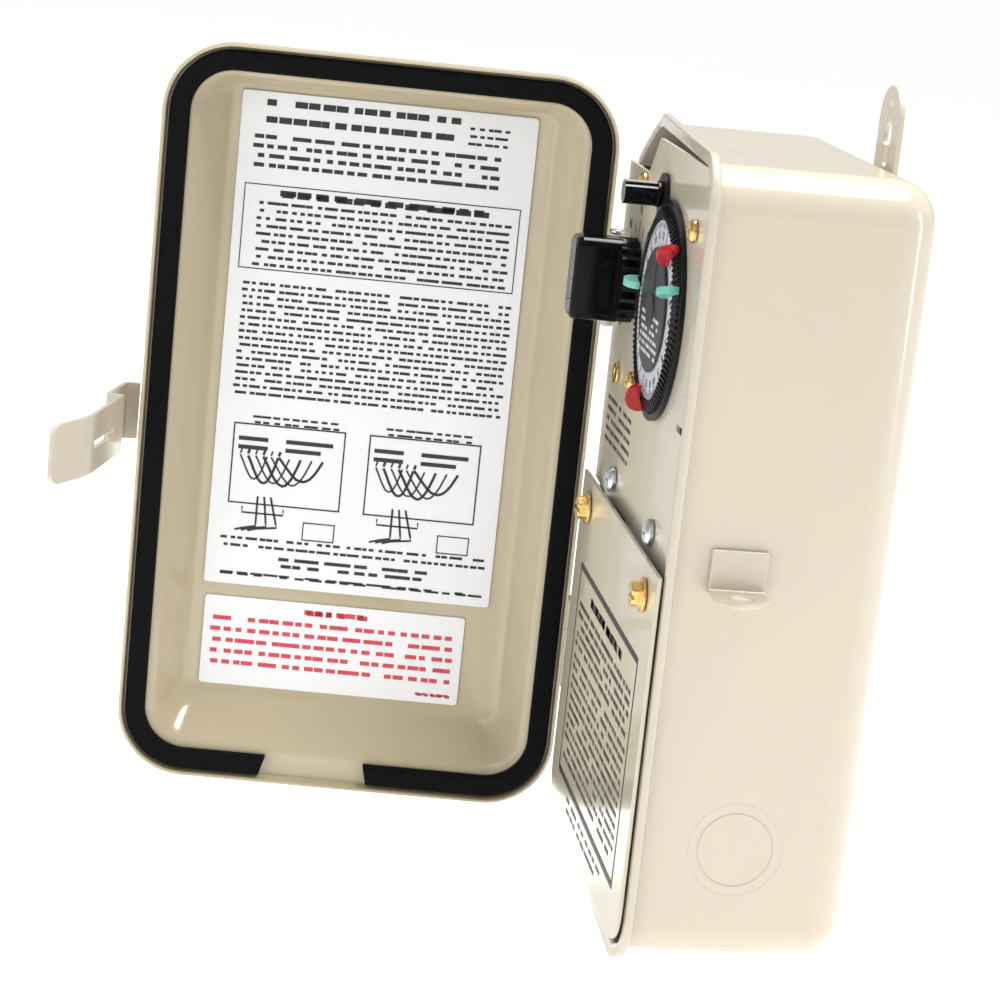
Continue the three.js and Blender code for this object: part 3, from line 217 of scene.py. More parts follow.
# ---- mesh helpers ----
def linkObject(name, mesh, material):
    piece = bpy.data.objects.new(name, mesh)
    bpy.context.scene.collection.objects.link(piece)
    mesh.materials.clear()
    mesh.materials.append(material)
    return piece


def smoothByAngle(mesh, degrees=32):
    mesh.shade_smooth()
    mesh.set_sharp_from_angle(angle=math.radians(degrees))


def bake(piece):
    graph = bpy.context.evaluated_depsgraph_get()
    mesh = bpy.data.meshes.new_from_object(piece.evaluated_get(graph), depsgraph=graph)
    piece.modifiers.clear()
    old = piece.data
    piece.data = mesh
    bpy.data.meshes.remove(old)


def fromBmesh(name, bm, material, recalc=True):
    if recalc:
        bmesh.ops.recalc_face_normals(bm, faces=bm.faces)
    mesh = bpy.data.meshes.new(name)
    bm.to_mesh(mesh)
    bm.free()
    return linkObject(name, mesh, material)


def settle(piece, node):
    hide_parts(node)
    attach(piece, bodyOf[node])


# Wide flat faces keep their own normals beside rounded edges.
def evenNormals(piece):
    even = piece.modifiers.new("even", "WEIGHTED_NORMAL")
    even.mode = "FACE_AREA"
    even.weight = 60
    even.keep_sharp = True
    bake(piece)


# A finer copy of a CAD node: flat faces joined up, edges rounded, curves shaded smooth.
def refine(node, bevel=0.25, segments=2, angle=34, material=None):
    bm = bmesh.new()
    bm.from_mesh(nodes[node].data)
    bmesh.ops.remove_doubles(bm, verts=bm.verts, dist=2e-6)
    bmesh.ops.dissolve_limit(bm, angle_limit=math.radians(0.8), verts=bm.verts, edges=bm.edges)
    piece = fromBmesh(node + "_fine", bm, material or materials[slotOf[node]], recalc=False)
    smoothByAngle(piece.data, 38)
    if bevel:
        edge = piece.modifiers.new("edge", "BEVEL")
        edge.width = bevel * mm
        edge.segments = segments
        edge.limit_method = "ANGLE"
        edge.angle_limit = math.radians(angle)
    evenNormals(piece)
    settle(piece, node)


def roundLoop(x0, x1, z0, z1, radius, perCorner=10, along=8):
    radius = max(radius, 0.3)
    corners = [(x1 - radius, z0 + radius, -90), (x1 - radius, z1 - radius, 0),
               (x0 + radius, z1 - radius, 90), (x0 + radius, z0 + radius, 180)]
    arcs = []
    for cx, cz, start in corners:
        arc = []
        for i in range(perCorner + 1):
            a = math.radians(start + 90 * i / perCorner)
            arc.append((cx + radius * math.cos(a), cz + radius * math.sin(a)))
        arcs.append(arc)
    loop = []
    for k, arc in enumerate(arcs):
        loop += arc
        nxt = arcs[(k + 1) % len(arcs)][0]
        for i in range(1, along):
            t = i / along
            x, z = arc[-1]
            loop.append((x + (nxt[0] - x) * t, z + (nxt[1] - z) * t))
    return loop


# Rings from the middle of one skin, over the rim, to the middle of the other.
def shellFromRings(name, rings, material, place=None):
    bm = bmesh.new()
    loops = []
    for ring in rings:
        loops.append([bm.verts.new(Vector(p) * mm) for p in ring])
    for a, b in zip(loops, loops[1:]):
        n = len(a)
        for i in range(n):
            bm.faces.new((a[i], a[(i + 1) % n], b[(i + 1) % n], b[i]))
    bm.faces.new(list(reversed(loops[0])))
    bm.faces.new(loops[-1])
    if place:
        bm.transform(place)
    return fromBmesh(name, bm, material)


def cutWith(piece, cutter, operation="DIFFERENCE"):
    tool = piece.modifiers.new("cut", "BOOLEAN")
    tool.operation = operation
    tool.solver = "EXACT"
    tool.object = cutter
    bpy.context.view_layer.update()
    bake(piece)
    bpy.data.objects.remove(cutter)


def cylinder(radius, low, high, axis, centre, sides=48, inner=0.0):
    bm = bmesh.new()
    rings = []
    for depth in (low, high):
        for r in ((radius, inner) if inner else (radius,)):
            ring = []
            for i in range(sides):
                a = 2 * math.pi * i / sides
                u, v = r * math.cos(a), r * math.sin(a)
                across, along = centre[0] + u, centre[1] + v
                spots = {"x": (depth, across, along), "y": (across, depth, along), "z": (across, along, depth)}
                point = spots[axis]
                ring.append(bm.verts.new(Vector(point) * mm))
            rings.append(ring)

    def bridge(a, b):
        for i in range(sides):
            bm.faces.new((a[i], a[(i + 1) % sides], b[(i + 1) % sides], b[i]))
    if inner:
        bridge(rings[0], rings[2])
        bridge(rings[1], rings[3])
        bridge(rings[0], rings[1])
        bridge(rings[2], rings[3])
    else:
        bridge(rings[0], rings[1])
        bm.faces.new(rings[0])
        bm.faces.new(rings[1])
    return fromBmesh("cutter", bm, materials["paint"])


def boxMesh(bm, low, high, place=None):
    made = bmesh.ops.create_cube(bm, size=1.0)["verts"]
    size = Vector(high) - Vector(low)
    centre = (Vector(high) + Vector(low)) / 2
    m = Matrix.Translation(centre * mm) @ Matrix.Diagonal((*(size * mm), 1))
    if place:
        m = place @ m
    bmesh.ops.transform(bm, matrix=m, verts=made)


# ---- the case ----
caseSpec = dict(halfWidth=67.0, halfHeight=116.0, front=-67.2, sheet=1.2, corner=13.0, rear=12.0,
                lip=3.0, lipDepth=3.4, leftBack=3.4, topRelief=5.5, bottomOut=1.8,
                knockout=(-37.0, -79.8), knockoutBelow=(22.0, -34.0),
                rings=((11.1, 0.3, 0.16), (14.1, 0.3, 0.06)), mountHole=(35, -92), mountHoleRadius=3.0,
                bossTop=108)


def rimSetBack(x, z):
    s = caseSpec
    across = min(1, max(0, (s["halfWidth"] - x) / (2 * s["halfWidth"])))
    high = min(1, max(0, (z - s["halfHeight"] * 0.86) / (s["halfHeight"] * 0.14)))
    low = min(1, max(0, (-z - s["halfHeight"] + s["lip"]) / (2 * s["lip"])))
    return s["leftBack"] * across + s["topRelief"] * across * high - s["bottomOut"] * low


def buildCase():
    s = caseSpec
    w, h, front, sheet = s["halfWidth"], s["halfHeight"], s["front"], s["sheet"]

    def ring(grow, y, bent):
        loop = roundLoop(-w - grow, w + grow, -h - grow, h + grow, s["corner"] + grow, 12, 10)
        return [(x, y + (rimSetBack(x, z) if bent else 0), z) for x, z in loop]

    rings = []
    bend = s["rear"]
    for i in range(13):
        a = math.radians(90 - 90 * i / 12)
        rings.append(ring(-bend * (1 - math.cos(a)), -bend * (1 - math.sin(a)), False))
    rings.append(ring(0, front + s["lipDepth"] + 8, False))
    rings.append(ring(0, front + s["lipDepth"] + 0.9, True))
    lip = s["lip"]
    lipSection = [(0.15, 3.4), (0.8, 3.05), (lip - 0.9, 2.75), (lip - 0.25, 2.4), (lip, 1.9), (lip, 1.0),
                  (lip - 0.3, 0.3), (lip - 1.0, 0.0), (0.2, 0.0), (-sheet * 0.6, 0.12), (-sheet, 0.6)]
    for out, y in lipSection:
        rings.append(ring(out, front + y, True))
    rings.append(ring(-sheet, front + 12, False))
    inner = bend - sheet
    for i in range(9):
        a = math.radians(90 * i / 8)
        rings.append(ring(-sheet - inner * (1 - math.cos(a)), -sheet - inner * (1 - math.sin(a)), False))
    case = shellFromRings("case_shell", rings, materials["paint"])
    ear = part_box("mounting_ear")
    half = ear[1].x / mm
    bm = bmesh.new()
    boxMesh(bm, (-half - 1.8, -3.0, ear[0].z / mm - 1.8), (half + 1.8, -0.9, s["bossTop"]))
    boss = fromBmesh("boss", bm, materials["paint"])
    cutWith(case, boss, "UNION")
    bm = bmesh.new()
    boxMesh(bm, (-half - 0.3, -1.8, ear[0].z / mm - 0.3), (half + 0.3, 2, 150))
    cutWith(case, fromBmesh("channel", bm, materials["paint"]))
    holeX, holeZ = s["mountHole"]
    for side in (-holeX, holeX):
        cutWith(case, cylinder(s["mountHoleRadius"], -4, 2, "y", (side, holeZ), 32))
    for radius, groove, deep in s["rings"]:
        outer, inside = radius + groove, radius - groove
        cutWith(case, cylinder(outer, w - deep, w + 1, "x", s["knockout"], 96, inside))
        cutWith(case, cylinder(outer, -h - 1, -h + deep, "z", s["knockoutBelow"], 96, inside))
    smoothByAngle(case.data, 32)
    evenNormals(case)
    settle(case, "case")


buildCase()
print("case done")

# ---- the door, built closed and turned open about its hinge ----
hinge = Vector(joints["door_hinge"]["pos_m"])
doorOpen = math.radians(-96.3)
doorTurn = Matrix.Translation(hinge) @ Matrix.Rotation(doorOpen, 4, "Z") @ Matrix.Translation(-hinge)
doorSpec = dict(x0=-74.2, x1=74.2, z0=-122.7, z1=125.4, radius=23.0, gasketFace=-69.6, gasketThick=3.7,
                inset=2.2, gasketWidth=6.6, depth=18.5, sheet=1.2, slope=12.0, low=4.0, high=7.5,
                gap=(-12, 24))


def doorLoop(d, share=0.0, along=8):
    s = doorSpec
    radius = max(s["radius"] - d, 7)
    low = s["z0"] + d + s["low"] * share
    high = s["z1"] - d + s["high"] * share
    return roundLoop(s["x0"] + d, s["x1"] - d, low, high, radius, 12, along)


def buildDoor():
    s = doorSpec
    face = s["gasketFace"]
    flange = face - s["gasketThick"] - 0.3
    panel = face - s["depth"]
    width = s["inset"] + s["gasketWidth"] + 0.6
    deep = flange - panel

    def ring(d, y, share=0.0):
        return [(x, y, z) for x, z in doorLoop(d, share)]

    curve = [(0.0, 0.0), (0.1, 0.03), (0.22, 0.14), (0.36, 0.3), (0.5, 0.5),
             (0.64, 0.7), (0.78, 0.86), (0.9, 0.96), (1.0, 1.0)]  # share across and down the drawn wall
    rings = []
    front = flange - s["sheet"]
    outside = width - s["sheet"] * 0.8
    for across, down in reversed(curve):
        rings.append(ring(outside + s["slope"] * across, front - deep * down, across))
    rim = [(2.2, front), (1.0, front + 0.12), (0.3, front + 0.55), (0, front + 1.3), (0, face - 0.2),
           (0.12, face + 0.35), (0.5, face + 0.55), (0.95, face + 0.4), (1.15, face), (1.2, flange + 0.6),
           (1.6, flange + 0.05), (2.4, flange)]
    for d, y in rim:
        rings.append(ring(d, y))
    rings.append(ring(width - 0.5, flange))
    for across, down in curve:
        rings.append(ring(width + s["slope"] * across, flange - deep * down, across))
    # the door shell takes the darkened copy of the case paint, painted shade for its inside
    door = shellFromRings("door_shell", rings, materials["doorShadedPaint"], doorTurn)
    smoothByAngle(door.data, 40)
    settle(door, "door_pan")


buildDoor()
print("door done")

# ---- fine copies of the turned, bent and moulded pieces: edge rounding and its segments ----
fineCopies = {
    "mounting_ear": (0.45, 3), "padlock_tab": (0.45, 3), "hasp": (0.45, 3), "hasp_foot": (0.4, 3),
    "hinge_case_leaf_upper": (0.4, 2), "hinge_case_leaf_lower": (0.4, 2), "hinge_door_leaf_upper": (0.35, 2),
    "hinge_door_leaf_lower": (0.35, 2), "hinge_pin_upper": (0.3, 2), "hinge_pin_lower": (0.3, 2),
    "lower_rail": (0.3, 2), "upper_bracket_left": (0.3, 2), "upper_bracket_right": (0.3, 2),
    "cover_screw_left": (0.3, 3), "cover_screw_right": (0.3, 3), "plate_screw_left": (0.18, 2),
    "plate_screw_right": (0.18, 2), "timer_screw_left": (0.15, 2), "timer_screw_right": (0.15, 2),
    "bracket_screw": (0.15, 2), "eyelet": (0.3, 3), "timer_bezel": (0.35, 3), "timer_housing": (0.3, 2),
    "snap_switch": (0.2, 2), "timer_motor": (0.4, 2), "thermostat_body": (0.6, 3),
    "selector_switch": (0.4, 2),
    "sensing_bulb": (0.6, 3), "bulb_clip": (0.25, 2), "ground_lug": (0.3, 2), "dial_gear": (0.08, 1),
    "idler_gear": (0.06, 1), "motor_pinion": (0.06, 1), "tripper_red_upper": (0.5, 3),
    "tripper_green_right": (0.5, 3), "tripper_green_left": (0.5, 3), "tripper_red_lower": (0.5, 3),
    "thermostat_shaft": (0.3, 2),
    "selector_knob": (0.22, 2), "thermostat_knob": (0.3, 3), "capillary_tube": (0, 0), "ground_lead": (0, 0),
    "lead_black": (0, 0), "lead_red": (0, 0), "lead_white": (0, 0), "label_large": (0.1, 1),
    "label_small": (0.1, 1),
}
for node, (bevel, segments) in fineCopies.items():
    refine(node, bevel, segments)
for node in ("mechanism_plate", "cover_plate"):
    refine(node, 0.3, 2, 34, materials["plateGloss"])
print("fine copies:", len(fineCopies) + 2)


# ---- gasket: a foam strip with a soft rounded section ----
def buildGasket():
    s = doorSpec
    face, width = s["gasketFace"], s["gasketWidth"]
    back = face - s["gasketThick"]
    edge = [(0, back), (0, face - 1.1), (0.2, face - 0.45), (0.7, face - 0.08), (1.3, face)]
    section = edge + [(width - d, y) for d, y in reversed(edge)]
    bm = bmesh.new()
    rings = []
    for d, y in section:
        loop = doorLoop(s["inset"] + d)
        rings.append([bm.verts.new(doorTurn @ (Vector((x, y, z)) * mm)) for x, z in loop])
    count = len(rings[0])
    for one, two in zip(rings, rings[1:] + rings[:1]):
        for i in range(count):
            k = (i + 1) % count
            bm.faces.new((one[i], one[k], two[k], two[i]))
    gasket = fromBmesh("gasket_ring", bm, materials["foam"])
    low = s["z0"] + s["inset"]
    high = low + width + 1
    left, right = s["gap"]
    outline = [(left, low - 1), (right + 1.5, low - 1), (right - 1, high), (left + 2, high)]
    bm = bmesh.new()
    ends = [[bm.verts.new(doorTurn @ (Vector((x, y, z)) * mm)) for x, z in outline]
            for y in (face + 1, back - 1)]
    bm.faces.new(ends[0])
    bm.faces.new(reversed(ends[1]))
    for i in range(4):
        k = (i + 1) % 4
        bm.faces.new((ends[0][i], ends[0][k], ends[1][k], ends[1][i]))
    cutWith(gasket, fromBmesh("gap", bm, materials["foam"]))
    smoothByAngle(gasket.data, 40)
    settle(gasket, "door_gasket")


buildGasket()


# ---- Geometry Nodes: what repeats ----
def nodeTree(name, inputs):
    tree = bpy.data.node_groups.new(name, "GeometryNodeTree")
    tree.interface.new_socket("Geometry", in_out="OUTPUT", socket_type="NodeSocketGeometry")
    for label, kind, value in inputs:
        socket = tree.interface.new_socket(label, in_out="INPUT", socket_type=kind)
        if value is not None:
            socket.default_value = value
    return tree, tree.nodes.new("NodeGroupInput"), tree.nodes.new("NodeGroupOutput")


def inMetres(size):
    return tuple(value * mm for value in size)


def growFromTree(name, tree, values, material, place, body):
    mesh = bpy.data.meshes.new(name)
    piece = linkObject(name, mesh, material)
    grow = piece.modifiers.new("grow", "NODES")
    grow.node_group = tree
    for item in tree.interface.items_tree:
        if item.item_type == "SOCKET" and item.in_out == "INPUT" and item.name in values:
            grow[item.identifier] = values[item.name]
    bpy.context.view_layer.update()
    bake(piece)
    piece.data.transform(place)
    piece.data.materials.clear()
    piece.data.materials.append(material)
    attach(piece, body)
    return piece


# bars set round a circle: knurls, minute marks, scale ticks
def radialTree():
    tree, source, target = nodeTree("radialBars", [
        ("Count", "NodeSocketInt", 96), ("Radius", "NodeSocketFloat", 0.03),
        ("Start", "NodeSocketFloat", 0.0),
        ("Sweep", "NodeSocketFloat", 6.283185), ("Size", "NodeSocketVector", (0.001, 0.001, 0.001)),
        ("Tilt", "NodeSocketFloat", 0.0), ("Material", "NodeSocketMaterial", None)])
    n = tree.nodes.new
    link = tree.links.new
    points = n("GeometryNodePoints")
    index = n("GeometryNodeInputIndex")
    share = n("ShaderNodeMath")
    share.operation = "DIVIDE"
    angle = n("ShaderNodeMath")
    angle.operation = "MULTIPLY_ADD"
    link(source.outputs["Count"], points.inputs["Count"])
    link(index.outputs[0], share.inputs[0])
    link(source.outputs["Count"], share.inputs[1])
    link(share.outputs[0], angle.inputs[0])
    link(source.outputs["Sweep"], angle.inputs[1])
    link(source.outputs["Start"], angle.inputs[2])
    cosine = n("ShaderNodeMath")
    cosine.operation = "COSINE"
    sine = n("ShaderNodeMath")
    sine.operation = "SINE"
    link(angle.outputs[0], cosine.inputs[0])
    link(angle.outputs[0], sine.inputs[0])
    spot = n("ShaderNodeCombineXYZ")
    link(cosine.outputs[0], spot.inputs["X"])
    link(sine.outputs[0], spot.inputs["Y"])
    reach = n("ShaderNodeVectorMath")
    reach.operation = "SCALE"
    link(spot.outputs[0], reach.inputs[0])
    link(source.outputs["Radius"], reach.inputs["Scale"])
    link(reach.outputs[0], points.inputs["Position"])
    turn = n("ShaderNodeCombineXYZ")
    link(angle.outputs[0], turn.inputs["Z"])
    link(source.outputs["Tilt"], turn.inputs["Y"])
    cube = n("GeometryNodeMeshCube")
    link(source.outputs["Size"], cube.inputs["Size"])
    copies = n("GeometryNodeInstanceOnPoints")
    link(points.outputs[0], copies.inputs["Points"])
    link(cube.outputs["Mesh"], copies.inputs["Instance"])
    link(turn.outputs[0], copies.inputs["Rotation"])
    real = n("GeometryNodeRealizeInstances")
    paint = n("GeometryNodeSetMaterial")
    link(copies.outputs[0], real.inputs[0])
    link(real.outputs[0], paint.inputs[0])
    link(source.outputs["Material"], paint.inputs["Material"])
    link(paint.outputs[0], target.inputs[0])
    return tree


# short bars in rows, of uneven length, that stand for lines of print
def printTree():
    tree, source, target = nodeTree("printRows", [
        ("Width", "NodeSocketFloat", 0.08), ("Height", "NodeSocketFloat", 0.05),
        ("Columns", "NodeSocketInt", 12),
        ("Rows", "NodeSocketInt", 8), ("Bar", "NodeSocketVector", (0.005, 0.001, 0.0001)),
        ("Seed", "NodeSocketInt", 1), ("Filled", "NodeSocketFloat", 0.9),
        ("Material", "NodeSocketMaterial", None)])
    n = tree.nodes.new
    link = tree.links.new
    grid = n("GeometryNodeMeshGrid")
    link(source.outputs["Width"], grid.inputs["Size X"])
    link(source.outputs["Height"], grid.inputs["Size Y"])
    link(source.outputs["Columns"], grid.inputs["Vertices X"])
    link(source.outputs["Rows"], grid.inputs["Vertices Y"])
    chance = n("FunctionNodeRandomValue")
    chance.data_type = "FLOAT"
    link(source.outputs["Seed"], chance.inputs["Seed"])
    skip = n("FunctionNodeCompare")
    skip.data_type = "FLOAT"
    skip.operation = "GREATER_THAN"
    link(chance.outputs[1], skip.inputs[0])
    link(source.outputs["Filled"], skip.inputs[1])
    thin = n("GeometryNodeDeleteGeometry")
    thin.domain = "POINT"
    link(grid.outputs["Mesh"], thin.inputs["Geometry"])
    link(skip.outputs[0], thin.inputs["Selection"])
    length = n("FunctionNodeRandomValue")
    length.data_type = "FLOAT"
    length.inputs[2].default_value = 0.5
    length.inputs[3].default_value = 1.0
    link(source.outputs["Seed"], length.inputs["Seed"])
    size = n("ShaderNodeCombineXYZ")
    size.inputs["Y"].default_value = 1.0
    size.inputs["Z"].default_value = 1.0
    link(length.outputs[1], size.inputs["X"])
    cube = n("GeometryNodeMeshCube")
    link(source.outputs["Bar"], cube.inputs["Size"])
    drift = n("FunctionNodeRandomValue")
    drift.data_type = "FLOAT"
    drift.inputs[2].default_value = -0.2
    drift.inputs[3].default_value = 0.2
    reseed = n("ShaderNodeMath")
    reseed.operation = "ADD"
    reseed.inputs[1].default_value = 50
    link(source.outputs["Seed"], reseed.inputs[0])
    link(reseed.outputs[0], drift.inputs["Seed"])
    parts = n("ShaderNodeSeparateXYZ")
    link(source.outputs["Bar"], parts.inputs[0])
    along = n("ShaderNodeMath")
    along.operation = "MULTIPLY"
    link(drift.outputs[1], along.inputs[0])
    link(parts.outputs["X"], along.inputs[1])
    offset = n("ShaderNodeCombineXYZ")
    link(along.outputs[0], offset.inputs["X"])
    moved = n("GeometryNodeSetPosition")
    link(thin.outputs[0], moved.inputs["Geometry"])
    link(offset.outputs[0], moved.inputs["Offset"])
    copies = n("GeometryNodeInstanceOnPoints")
    link(moved.outputs[0], copies.inputs["Points"])
    link(cube.outputs["Mesh"], copies.inputs["Instance"])
    link(size.outputs[0], copies.inputs["Scale"])
    real = n("GeometryNodeRealizeInstances")
    paint = n("GeometryNodeSetMaterial")
    link(copies.outputs[0], real.inputs[0])
    link(real.outputs[0], paint.inputs[0])
    link(source.outputs["Material"], paint.inputs["Material"])
    link(paint.outputs[0], target.inputs[0])
    return tree


radial = radialTree()
rows = printTree()


# A face plane at (x, y, z): its own X runs along +X, its own Y along +Z, its own Z out of the front.
def onFront(x, y, z):
    return Matrix.Translation(Vector((x, y, z)) * mm) @ Matrix.Rotation(math.radians(90), 4, "X")


# The same on the door's inside: its own X runs from the free edge to the hinge.
def onDoor(x, y, z):
    turn = Matrix.Rotation(math.radians(180), 4, "Z") @ Matrix.Rotation(math.radians(90), 4, "X")
    return doorTurn @ Matrix.Translation(Vector((x, y, z)) * mm) @ turn


dialSpec = dict(x=11.5, z=66.8, ridges=96, ridgeRadius=28.85, ridgeSize=(3.2, 0.8, 0.8), ridgeTilt=20.5,
                ticks=((96, 25.3, (1.4, 0.3, 0.08)), (24, 24.9, (2.4, 0.5, 0.09))),
                numberRadius=22.0, numberSize=3.4, hubSink=0.52, hubPrintDrop=7.5)
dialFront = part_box("dial_ring")[0].y / mm


def buildDial():
    s = dialSpec
    refine("dial_ring", 0.25, 2, 30)
    refine("dial_face", 0.1, 1)
    refine("dial_hub", 0.25, 2, 30)
    black = materials["black_moulding"]
    ridges = {"Count": s["ridges"], "Radius": s["ridgeRadius"] * mm, "Size": inMetres(s["ridgeSize"]),
              "Tilt": math.radians(s["ridgeTilt"]), "Material": black}
    place = onFront(s["x"], dialFront + 0.55, s["z"])
    growFromTree("dial_ridges", radial, ridges, black, place, "dial")
    white = materials["inkWhite"]
    lines = {"Width": 24 * mm, "Height": 11 * mm, "Columns": 8, "Rows": 6, "Bar": inMetres((3.3, 1.1, 0.06)),
             "Seed": 31, "Filled": 0.92, "Material": white}
    place = onFront(s["x"], dialFront - s["hubSink"], s["z"] - s["hubPrintDrop"])
    growFromTree("hub_print", rows, lines, white, place, "dial")
    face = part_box("dial_face")[0].y / mm
    ink = materials["inkBlack"]
    place = onFront(s["x"], face - 0.02, s["z"])
    for name, (count, radius, size) in zip(("dial_ticks", "dial_hour_ticks"), s["ticks"]):
        ticks = {"Count": count, "Radius": radius * mm, "Size": inMetres(size), "Material": ink}
        growFromTree(name, radial, ticks, ink, place, "dial")


def writeText(name, text, size, place, thick=0.04):
    curve = bpy.data.curves.new(name, "FONT")
    curve.body = text
    curve.size = size * mm
    curve.align_x = "CENTER"
    curve.align_y = "CENTER"
    curve.extrude = thick * mm
    curve.resolution_u = 2
    piece = bpy.data.objects.new(name, curve)
    bpy.context.scene.collection.objects.link(piece)
    bpy.context.view_layer.update()
    graph = bpy.context.evaluated_depsgraph_get()
    mesh = bpy.data.meshes.new_from_object(piece.evaluated_get(graph))
    bpy.data.objects.remove(piece)
    mesh.transform(place)
    bm = bmesh.new()
    bm.from_mesh(mesh)
    bmesh.ops.remove_doubles(bm, verts=bm.verts, dist=1e-7)
    bpy.data.meshes.remove(mesh)
    return bm


# Several numbers joined into one flat piece.
def numberSet(name, entries, size, material, body):
    whole = bmesh.new()
    for text, place in entries:
        part = writeText(name, text, size, place)
        mesh = bpy.data.meshes.new("part")
        part.to_mesh(mesh)
        part.free()
        whole.from_mesh(mesh)
        bpy.data.meshes.remove(mesh)
    piece = fromBmesh(name, whole, material)
    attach(piece, body)


def buildNumbers():
    s = dialSpec
    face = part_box("dial_face")[0].y / mm
    entries = []
    for hour in range(24):
        a = math.radians(90 - hour * 15)
        text = str(12 if hour % 12 == 0 else hour % 12)
        x, z = s["x"] + s["numberRadius"] * math.cos(a), s["z"] + s["numberRadius"] * math.sin(a)
        entries.append((text, onFront(x, face - 0.05, z) @ Matrix.Rotation(a - math.pi / 2, 4, "Z")))
    numberSet("dial_numbers", entries, s["numberSize"], materials["inkBlack"], "dial")


buildDial()
buildNumbers()

# ---- plates: scale round the thermostat knob and printed rows ----
scaleSpec = dict(x=-40.0, z=67.5, ticks=13, radius=17.2, start=-45, sweep=292.5, tick=(3.2, 0.6, 0.08),
                 numbers=(30, 35, 40, 45, 50, 55, 60), firstNumber=225, numberStep=45,
                 numberRadius=22.2, numberSize=4.4)
plateFace = -65.4
coverFace = -69.2


def buildScales():
    s = scaleSpec
    ink = materials["inkBlack"]
    ticks = {"Count": s["ticks"], "Radius": s["radius"] * mm, "Start": math.radians(s["start"]),
             "Sweep": math.radians(s["sweep"]), "Size": inMetres(s["tick"]), "Material": ink}
    place = onFront(s["x"], plateFace - 0.03, s["z"])
    growFromTree("thermostat_ticks", radial, ticks, ink, place, "enclosure")
    entries = []
    for i, value in enumerate(s["numbers"]):
        a = math.radians(s["firstNumber"] - s["numberStep"] * i)
        x, z = s["x"] + s["numberRadius"] * math.cos(a), s["z"] + s["numberRadius"] * math.sin(a)
        entries.append((str(value), onFront(x, plateFace - 0.05, z)))
    numberSet("thermostat_numbers", entries, s["numberSize"], ink, "enclosure")


buildScales()
# name, centre x, centre z, width, height, columns, rows, bar height, seed, ink, filled
printBlocks = [
    ("plate_print", -38, 20, 40, 13, 11, 5, 1.3, 3, "inkBlack", 0.95),
    ("cover_heading", 0, -35, 52, 0.4, 8, 2, 2.6, 4, "inkBlack", 1.0),
    ("cover_print_upper", 0, -47, 94, 13, 19, 5, 1.5, 9, "inkBlack", 0.95),
    ("cover_print_lower", 0, -75, 94, 34, 21, 11, 1.4, 5, "inkBlack", 0.94),
    ("cover_print_foot", 0, -104, 60, 3.4, 9, 2, 1.2, 6, "inkBlack", 0.95),
]


# rows of bars, width by height, centred on the place
def printBars(name, place, width, height, columns, rowCount, bar, thick, seed, ink, filled, body):
    pitch = width / (columns - 1)
    lines = {"Width": width * mm, "Height": height * mm, "Columns": columns, "Rows": rowCount,
             "Bar": inMetres((pitch, bar, thick)), "Seed": seed, "Filled": filled, "Material": materials[ink]}
    growFromTree(name, rows, lines, materials[ink], place, body)


for name, x, z, width, height, columns, rowCount, bar, seed, ink, filled in printBlocks:
    place = onFront(x, (plateFace if z > 0 else coverFace) - 0.03, z)
    printBars(name, place, width, height, columns, rowCount, bar, 0.08, seed, ink, filled,
              "enclosure")


def frameLines(name, place, x0, x1, z0, z1, thick, ink, body, top=None):
    bm = bmesh.new()
    top = top or thick
    bars = [((x0, z0), (x1, z0 + top)), ((x0, z1 - top), (x1, z1)),
            ((x0, z0 + top), (x0 + thick, z1 - top)), ((x1 - thick, z0 + top), (x1, z1 - top))]
    for low, high in bars:
        boxMesh(bm, (*low, 0), (*high, 0.08), place)
    piece = fromBmesh(name, bm, materials[ink])
    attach(piece, body)


coverFrame = dict(x0=-54, x1=54, z0=-99, z1=-28, thick=0.8, top=2.0)
frameLines("cover_frame", onFront(0, coverFace - 0.05, 0), ink="inkBlack", body="enclosure", **coverFrame)

# ---- labels in the door: print rows, a boxed notice and two plain wiring diagrams ----
panelFace = doorSpec["gasketFace"] - doorSpec["depth"] + 0.7
labelCentre = 1.0
smallLabelCentre = 4.25
# name, centre x, centre z, width, height, rows, columns, bar height, seed, ink
doorBlocks = [
    ("label_title", -9, 103.2, 60, 5.6, 2, 14, 2.1, 11, "inkBlack"),
    ("label_lead", -3, 90.0, 78, 9.4, 4, 21, 1.35, 12, "inkBlack"),
    ("label_mark", 33, 101.5, 11, 5.0, 3, 5, 0.9, 21, "inkBlack"),
    ("label_heading", 1, 76.2, 64, 0.5, 2, 12, 1.9, 22, "inkBlack"),
    ("label_notice", 1, 62.5, 82, 20.6, 9, 31, 1.0, 13, "inkBlack"),
    ("label_body", 1, 27, 88, 37.4, 17, 38, 0.95, 14, "inkBlack"),
    ("label_caption_left", -22, -0.5, 26, 1.9, 2, 9, 0.8, 23, "inkBlack"),
    ("label_caption_right", 23, -0.5, 26, 1.9, 2, 9, 0.8, 24, "inkBlack"),
    ("label_steps", 1, -43.4, 88, 2.6, 2, 36, 0.95, 15, "inkBlack"),
    ("label_maker", 1, -49.6, 46, 2.4, 2, 10, 1.2, 16, "inkBlack"),
    ("label_foot", 1, -54.6, 84, 0.4, 2, 18, 0.8, 25, "inkBlack"),
    ("small_title", 0, -66.4, 18, 0.3, 2, 6, 1.7, 17, "inkRed"),
    ("small_body", 0, -78.6, 80, 15.6, 5, 21, 1.5, 18, "inkRed"),
    ("small_foot", 36, -91.6, 10, 0.3, 2, 5, 0.9, 19, "inkRed"),
]
for name, x, z, width, height, rowCount, columns, bar, seed, ink in doorBlocks:
    centre = smallLabelCentre if name.startswith("small") else labelCentre
    place = onDoor(centre - x, panelFace + 0.04, z)
    printBars(name, place, width, height, columns, rowCount, bar, 0.06, seed, ink, 0.94, "door")
noticeFrame = dict(x0=-46, x1=46, z0=50.5, z1=79, thick=0.35)
